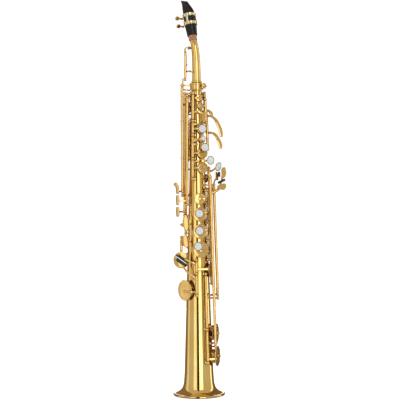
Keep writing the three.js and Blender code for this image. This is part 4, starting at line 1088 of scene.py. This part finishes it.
def bellCupTop(cup):
    # the turned stop on a bell key's lid and the ring pressed round it
    top = cupTop(cup)
    place = spot(cup["angle"], 0, cup["z"])
    spike = [(0, top), (3.4, top), (3.2, top + 0.8), (1.5, top + 1.4), (1.1, top + 3.4), (1.5, top + 4.2),
             (0.9, top + 4.9), (0, top + 5)]
    ring = [(cup["radius"] * 0.56, top), (cup["radius"] * 0.58, top + 0.5),
            (cup["radius"] * 0.62, top + 0.5), (cup["radius"] * 0.64, top)]
    return lathe(spike, "keyBrass", 28, 0.2, place) + lathe(ring, "keyBrass", 44, 0.15, place)


def bellKeys():
    opened = -stack["lowKeyOpen"]
    line = hinges["bellKeys"]
    link = linkArm(line, 31, 40, 29.2, 178.5, 3.0) + linkArm(line, 38, 86, 31.1, 178.5, 1.3)
    shapes = turnedBy(link, line, -opened) + bellCupTop(cups["lowB"]) + collar("bellKeys",
        123.4) + collar("bellKeys", 178.5)
    plainKey("lowBKey", "lowB", "bellKeys", (121.2, 211.8), shapes, "low_b", "low_b_key", opened, 123.4)
    link = linkArm(line, 31, 60, 31.7, 93.8, 1.6)
    shapes = turnedBy(link, line, -opened) + bellCupTop(cups["lowBb"]) + collar("bellKeys",
        66) + collar("bellKeys", 93.8)
    plainKey("lowBFlatKey", "lowBb", "bellKeys", (63.2, 114.6), shapes, "low_b_flat", "low_b_flat_key",
             opened, 66)


def octaveLever():
    line = hinges["octave"]
    reach = 24.6
    path = [onLine(line, 476), onBody(178, 25, 467), onBody(186, 25.6, 450), onBody(190, 25.4, 437)]
    shapes = keyTube(line, (469.2, 526.8)) + sweep(path, [3.0, 3.6, 4.4, 4.2], 1.15, "keyBrass", steps=8,
                                                   sides=20)
    shapes += collar("octave", 476) + collar("octave", 518)
    shapes += sweep([onLine(line, 518), onBody(173, 21.5, 522), onBody(174, reach, 528),
                     onBody(175, reach, 536), onBody(177, reach, 542.5)],
                    [1.8, 1.5, 1.4, 1.4, 1.5], 1.3, "keyBrass", steps=6)
    ring = [onBody(172 + 92 * i / 20, reach, 542.5) for i in range(21)]
    shapes += sweep(ring, [1.4, 1.5, 1.4], 0.95, "keyBrass", steps=2)
    shapes += rod(onBody(263, reach, 542), onBody(264.5, 24.4, 562), 1.2, "keyBrass", 16, 0.4)
    makePiece("octaveThumbLever", shapes, "octave_lever", ["octave_thumb_lever"])


drawStackKeys()
drawPalmKeys()
drawSideKeys()
drawTrillKeys()
rightLittleFinger()
leftLittleFinger()
bellKeys()
octaveLever()
print("keys drawn")


# neck and mouthpiece, drawn with X towards the front of the neck's plane
neck = {"turn": 37, "line": [(0, 0, 547), (0, 0, 575), (-1.2, 0, 600), (-4.4, 0, 619), (-9.4, 0, 632)],
        "low": 7.8, "high": 5.9,
        "hinge": 574, "vent": 616}
mouth = {"bend": 14, "base": (-10.4, 0, 636), "length": 72, "beakStart": 41, "beakSlope": 0.554,
         "table": -7.6,
         "shank": [(8.6, 2), (8.9, 3), (10.5, 22), (10.5, 43), (8.6, 72)]}
neckFrame = Matrix.Rotation(radians(neck["turn"] - 90), 4, "Z")
mouthFrame = neckFrame @ Matrix.Translation(mouth["base"]) @ Matrix.Rotation(radians(-mouth["bend"]), 4,
    "Y")


def neckSide(out, along, z):
    turn = -radians(90 + neck["turn"])
    lean = -1.2 - (z - 600) * 0.15 if z > 600 else 0
    return Vector((cos(turn) * out + sin(turn) * along + lean, sin(turn) * out - cos(turn) * along, z))


def drawNeck():
    line = splinePoints(neck["line"], 8)
    count, sides = len(line), 56
    corners, faces = [], []
    for i, here in enumerate(line):
        along = (line[min(i + 1, count - 1)] - line[max(i - 1, 0)]).normalized()
        across = Vector((0, 1, 0))
        front = across.cross(along).normalized()
        radius = neck["low"] + (neck["high"] - neck["low"]) * i / (count - 1)
        for j in range(sides):
            turn = 2 * pi * j / sides
            corners.append(here + (front * cos(turn) + across * sin(turn)) * radius)
    for i in range(count - 1):
        for j in range(sides):
            k = (j + 1) % sides
            faces.append((i * sides + j, i * sides + k, (i + 1) * sides + k, (i + 1) * sides + j))
    shapes = [(corners, faces, "brass")]
    shapes += lathe([(7.2, 553.6), (8.7, 553.6), (9, 554.2), (9, 556.4), (8.6, 557.2), (7.2, 557.4)],
                    "brass", 56, 0.25)
    for shift in (-4.4, 4.4):
        foot, head = neckSide(6.2, shift, neck["hinge"]), neckSide(14.6, shift, neck["hinge"])
        shapes += rod(foot, head, 1.2, "brass", 16, 0.3) + ball(neckSide(13.6, shift, neck["hinge"]), 1.9,
            "brass", 16)
    shapes += rod(neckSide(5, 0, neck["vent"]), neckSide(10, 0, neck["vent"]), 2.2, "brass", 24, 0.4)
    shapes += rod(neckSide(4.2, 0, neck["vent"]), neckSide(6.4, 0, neck["vent"]), 3.1, "brass", 24, 0.8)
    stub = lathe([(5, -5), (6.3, -5), (6.3, -3.4), (6.05, -3), (6.05, 16), (5, 16)], "brass", 40, 0.2)
    shapes = moved(shapes, neckFrame) + moved(stub, mouthFrame)
    makePiece("neckTube", shapes, "neck", ["neck_tube"])
    sleeve = [(6.5, -6), (7.1, -6), (7.4, -5.4), (7.42, 0), (7.38, 14.4), (7.1, 15), (6.5, 15)]
    makePiece("neckCork", moved(lathe(sleeve, "cork", 48, 0.3), mouthFrame), "neck", ["neck_cork"])

    hinge, vent = neck["hinge"], neck["vent"]
    shapes = rod(neckSide(13.6, -2.6, hinge), neckSide(13.6, 2.6, hinge), 1.9, "keyBrass", 24, 0.2)
    shapes += rod(neckSide(13.6, 0, hinge), neckSide(19.2, 0, hinge), 1.4, "keyBrass", 16, 0.3)
    spine = [neckSide(20.1, 0, 561), neckSide(19.9, 0, 566), neckSide(19.6, 0, 580), neckSide(19, 0, 598),
             neckSide(18.2, 0, 612)]
    shapes += sweep(spine, [2.0, 2.4, 3.4, 2.7, 2.5], 2.2, "keyBrass", steps=6)
    shapes += ball(neckSide(20.2, 0, 559), 2.4, "keyBrass") + ball(neckSide(18.6, 0, 586), 2.8, "keyBrass")
    shapes += sweep([neckSide(18.2, 0, 612), neckSide(17.4, 0, 615.5), neckSide(15, 0, vent + 0.6),
                     neckSide(12.4, 0, vent)],
                    [1.5, 1.6, 1.5, 1.5], 1.1, "keyBrass", facing=(0, 0, 1), steps=6)
    lid = [(0, 10.5), (3.2, 10.5), (3.4, 10.8), (3.4, 12), (2.8, 12.6), (0, 12.9)]
    start = neckSide(0, 0, vent)
    place = standing(start, neckSide(1, 0, vent))
    shapes += lathe(lid, "keyBrass", 32, 0.2, place) + lathe([(0, 10.05), (2.9, 10.05), (3.1, 10.5),
        (0, 10.5)], "leather", 28, 0.1, place)
    makePiece("neckOctaveKey", moved(shapes, neckFrame), "neck_octave", ["neck_octave_key"])


def shankRadius(z):
    for (lowR, low), (highR, high) in zip(mouth["shank"], mouth["shank"][1:]):
        if z <= high:
            return lowR + (highR - lowR) * max(0.0, z - low) / (high - low)
    return mouth["shank"][-1][0]


def drawMouthpiece():
    sides = 72
    heights = [2, 2.3, 3, 4] + [5 + i for i in range(int(mouth["length"]) - 5)] + [mouth["length"] - 0.4,
        mouth["length"]]
    corners, faces = [], []
    for z in heights:
        radius = shankRadius(z) - (0.5 if z == 2 else 0.15 if z == 2.3 else 0.0)
        back = mouth["table"] - max(0.0, 17.5 - z) * 3
        front = 10.6 - max(0.0, z - mouth["beakStart"]) * mouth["beakSlope"]
        if z > mouth["length"] - 0.6:
            front -= 0.25 * (z - mouth["length"] + 0.6) / 0.6
        narrow = 1 - 0.12 * max(0.0, z - 63) / 9
        for j in range(sides):
            turn = 2 * pi * j / sides
            x, y = radius * cos(turn), radius * sin(turn) * narrow
            lift = 0.02 * y * y if x > front - 1 and z > mouth["beakStart"] else 0
            corners.append(Vector((min(max(x, back), max(front - lift, back + 0.5)), y, z)))
    for i in range(len(heights) - 1):
        for j in range(sides):
            k = (j + 1) % sides
            faces.append((i * sides + j, i * sides + k, (i + 1) * sides + k, (i + 1) * sides + j))
    faces.append(tuple((len(heights) - 1) * sides + j for j in range(sides)))
    shapes = [(corners, faces, "rubber")]
    shapes += lathe([(8.2, 2), (7.85, 2.4), (7.85, 18), (5, 18)], "rubber", 48, 0.2)
    for z in (4.4, 20.2):
        shapes += lathe([(shankRadius(z) - 0.2, z), (shankRadius(z) + 0.16, z + 0.2),
                         (shankRadius(z) + 0.16, z + 0.6),
                         (shankRadius(z) - 0.2, z + 0.8)], "rubber", 64, 0.1)
    makePiece("mouthpiece", moved(shapes, mouthFrame), "mouthpiece_set", ["mouthpiece"])

    # reed: thick at its heel, scraped thin towards its tip
    back = mouth["table"] - 0.3
    corners, faces, across = [], [], 15
    last = mouth["length"] - 0.5
    heights = [17 + (last - 17) * i / 50 for i in range(51)]
    for z in heights:
        thick = 2.2 if z < 42 else 2.2 - 1.3 * (z - 42) / 15 if z < 57 else 0.9 - 0.6 * (z - 57) / 14.5
        half = 6.0 if z < last - 4 else 6.0 - 0.1 * (z - last + 4) ** 2
        outer = []
        for j in range(across):
            y = half * (2 * j / (across - 1) - 1)
            depth = min(back - 0.12, max(back - thick * (1 - 0.16 * (y / 6) ** 2),
                                         -((10.55 ** 2 - y * y) ** 0.5)))
            outer.append(Vector((depth, y, z)))
        corners += outer + [Vector((back, p.y, z)) for p in reversed(outer)]
    ring = 2 * across
    for i in range(len(heights) - 1):
        for j in range(ring):
            k = (j + 1) % ring
            faces.append((i * ring + j, i * ring + k, (i + 1) * ring + k, (i + 1) * ring + j))
    faces += [tuple(range(ring)), tuple((len(heights) - 1) * ring + j for j in range(ring))]
    makePiece("reed", moved([(corners, faces, "cane")], mouthFrame), "mouthpiece_set", ["reed"])


clamp = {"inner": 10.95, "bands": [(23, 26.6), (38.6, 42)], "screws": [25, 40], "reach": 14.6,
         "struts": [-62, 62, 130, -130, 180]}


def drawLigature():
    inner, shapes = clamp["inner"], []
    for low, high in clamp["bands"]:
        low, high = low - 0.9, high + 0.9
        profile = [(inner, low), (inner + 1.1, low), (inner + 1.1, low + 0.8), (inner + 0.7, low + 1.2),
                   (inner + 0.7, high - 1.2),
                   (inner + 1.1, high - 0.8), (inner + 1.1, high), (inner, high), (inner, low)]
        shapes += lathe(profile, "paleBrass", 72, 0.15)
    for turn in clamp["struts"]:
        place = Matrix.Rotation(radians(turn), 4, "Z") @ Matrix.Translation((inner, 0,
            32.5)) @ Matrix.Rotation(radians(90), 4, "Y")
        outline = [(-8, -3.4), (-4.5, -2), (4.5, -2), (8, -3.4), (8, 3.4), (4.5, 2), (-4.5, 2), (-8, 3.4)]
        shapes += plate(outline, 0.85, "paleBrass", place, 0.2, round=0.8)
    for z in clamp["screws"]:
        for y in (-4, 4):
            place = Matrix.Translation((-clamp["reach"] + 0.8, y, z)) @ Matrix.Rotation(radians(90), 4, "X")
            shapes += box(6, 4, 2.4, "paleBrass", place, 0.5)
    makePiece("ligature", moved(shapes, mouthFrame), "mouthpiece_set", ["ligature"])
    for name, z in (("lower", clamp["screws"][0]), ("upper", clamp["screws"][1])):
        across = Matrix.Translation((-clamp["reach"], 0, z)) @ Matrix.Rotation(radians(90), 4, "X")
        stem = [(0, -7), (1.3, -7), (1.3, 6.6), (2.2, 6.8), (2.2, 8.2), (1.5, 8.6), (1.3, 10.5),
                (1.7, 12.6), (0, 13.4)]
        shapes = lathe(stem, "keyBrass", 24, 0.25, across)
        grip = plate([(-1.4, -0.4), (-3.2, 1.2), (-4, 4), (-3.3, 6.8), (-1.3, 8.4), (1.3, 8.4),
                      (3.3, 6.8), (4, 4), (3.2, 1.2), (1.4, -0.4)],
                     2.2, "keyBrass", across @ Matrix.Rotation(radians(50), 4, "Z")
                     @ Matrix.Translation((0, 1.1, 11.9)) @ Matrix.Rotation(radians(90), 4, "X"), 0.6,
                     0.3, 1.5)
        makePiece("ligatureScrew" + name.capitalize(), moved(shapes + grip, mouthFrame),
                  "ligature_screw_" + name,
                  ["ligature_screw_" + name])


drawNeck()
drawMouthpiece()
drawLigature()
print("neck and mouthpiece drawn")


# studio
studio = {"floor": 40.0, "backdrop": 1.1, "paper": (0.93, 0.93, 0.925), "roughness": 0.85, "glow": 0.72,
          "air": 0.56}


def paperFinish():
    material, tree, shader = newMaterial("studioPaper")
    where = addNode(tree, "ShaderNodeTexCoord").outputs["Object"]
    fibre = noiseAt(tree, where, 90.0, 4.0)
    tree.links.new(mixColour(tree, fibre, studio["paper"], tuple(c * 0.985 for c in studio["paper"])),
                   shader.inputs["Base Color"])
    shader.inputs["Roughness"].default_value = studio["roughness"]
    shader.inputs["Emission Color"].default_value = (1.0, 1.0, 1.0, 1.0)
    shader.inputs["Emission Strength"].default_value = studio["glow"]
    bumpFrom(tree, shader, fibre, 0.05, 0.0002)
    return material


def drawFloor():
    mesh = bpy.data.meshes.new("paperFloor")
    half = studio["floor"] / 2
    mesh.from_pydata([(x, y, -0.0003) for x, y in ((-half, -half), (half, -half), (half, half),
                                                   (-half, half))], [], [(0, 1, 2, 3)])
    mesh.materials.append(paperFinish())
    paper = bpy.data.objects.new("paperFloor", mesh)
    paper.visible_glossy = False
    bpy.context.scene.collection.objects.link(paper)


# soft boxes: direction round the instrument (0 is the stack side), distance, height of the middle, width,
# height and watts
lamps = {
    "leftBox": {"angle": -30, "away": 1.6, "up": 0.7, "wide": 0.66, "tall": 2.2, "watts": 3.2},
    "rightStrip": {"angle": 17, "away": 1.6, "up": 0.7, "wide": 0.70, "tall": 2.2, "watts": 9.5},
    "sideStrip": {"angle": -96, "away": 1.6, "up": 0.7, "wide": 0.5, "tall": 2.0, "watts": 1.0},
    "farStrip": {"angle": 108, "away": 1.6, "up": 0.7, "wide": 0.3, "tall": 2.0, "watts": 3.0},
    "backStrip": {"angle": 180, "away": 1.6, "up": 0.7, "wide": 0.35, "tall": 2.0, "watts": 4.0},
}
# boards that only reflections see: a black one gives the polished tubes their dark line, dim ones their edges
boards = {
    "cameraGap": {"angle": -6, "away": 1.3, "wide": 0.34, "glow": 0.0},
    "backRight": {"angle": 146, "away": 1.4, "wide": 1.3, "glow": 0.16},
    "backLeft": {"angle": -142, "away": 1.4, "wide": 1.5, "glow": 0.22},
}


def drawLamps():
    for name, box in lamps.items():
        light = bpy.data.lights.new(name, "AREA")
        light.shape, light.size, light.size_y = "RECTANGLE", box["wide"], box["tall"]
        light.energy, light.color = box["watts"], (1.0, 0.985, 0.96)
        lamp = bpy.data.objects.new(name, light)
        lamp.location = onBody(box["angle"], box["away"], box["up"])
        aim = Vector((0, 0, box["up"])) - lamp.location
        lamp.rotation_euler = aim.to_track_quat("-Z", "Y").to_euler()
        lamp.visible_camera = False
        bpy.context.scene.collection.objects.link(lamp)
    world = bpy.data.worlds.new("studioAir")
    world.use_nodes = True
    world.node_tree.nodes["Background"].inputs["Color"].default_value = (1.0, 0.99, 0.97, 1.0)
    tree = world.node_tree
    seen = addNode(tree, "ShaderNodeLightPath").outputs["Is Camera Ray"]
    tree.links.new(spread(tree, seen, 0.0, 1.0, studio["air"], studio["backdrop"]),
                   tree.nodes["Background"].inputs["Strength"])
    bpy.context.scene.world = world
    bpy.context.scene.view_settings.view_transform = "Standard"


def drawBoards():
    for name, board in boards.items():
        material, tree, shader = newMaterial(name + "Card")
        shader.inputs["Base Color"].default_value = (0.012, 0.008, 0.006, 1.0)
        shader.inputs["Roughness"].default_value = 0.9
        shader.inputs["Emission Color"].default_value = (1.0, 0.72, 0.5, 1.0)
        shader.inputs["Emission Strength"].default_value = board["glow"]
        half = board["wide"] / 2
        mesh = bpy.data.meshes.new(name)
        mesh.from_pydata([(-half, 0, -1.2), (half, 0, -1.2), (half, 0, 3.0), (-half, 0, 3.0)], [],
                         [(0, 1, 2, 3)])
        mesh.materials.append(material)
        panel = bpy.data.objects.new(name, mesh)
        panel.location = onBody(board["angle"], board["away"], 0)
        panel.rotation_euler = (0, 0, radians(board["angle"]))
        for ray in ("camera", "diffuse", "shadow", "transmission"):
            setattr(panel, "visible_" + ray, False)
        bpy.context.scene.collection.objects.link(panel)


view = {"side": 0.0044, "away": 1.97, "height": 0.3455, "lens": 99.8, "roll": -0.5}


def drawCamera():
    data = bpy.data.cameras.new("viewCamera")
    data.lens, data.sensor_width, data.clip_end = view["lens"], 36.0, 20.0
    camera = bpy.data.objects.new("viewCamera", data)
    camera.matrix_world = (Matrix.Translation((view["side"], -view["away"], view["height"]))
                           @ Matrix.Rotation(radians(90), 4, "X")
                           @ Matrix.Rotation(radians(view["roll"]), 4, "Z"))
    bpy.context.scene.collection.objects.link(camera)
    bpy.context.scene.camera = camera


drawFloor()
drawLamps()
drawBoards()
drawCamera()
print("studio ready")
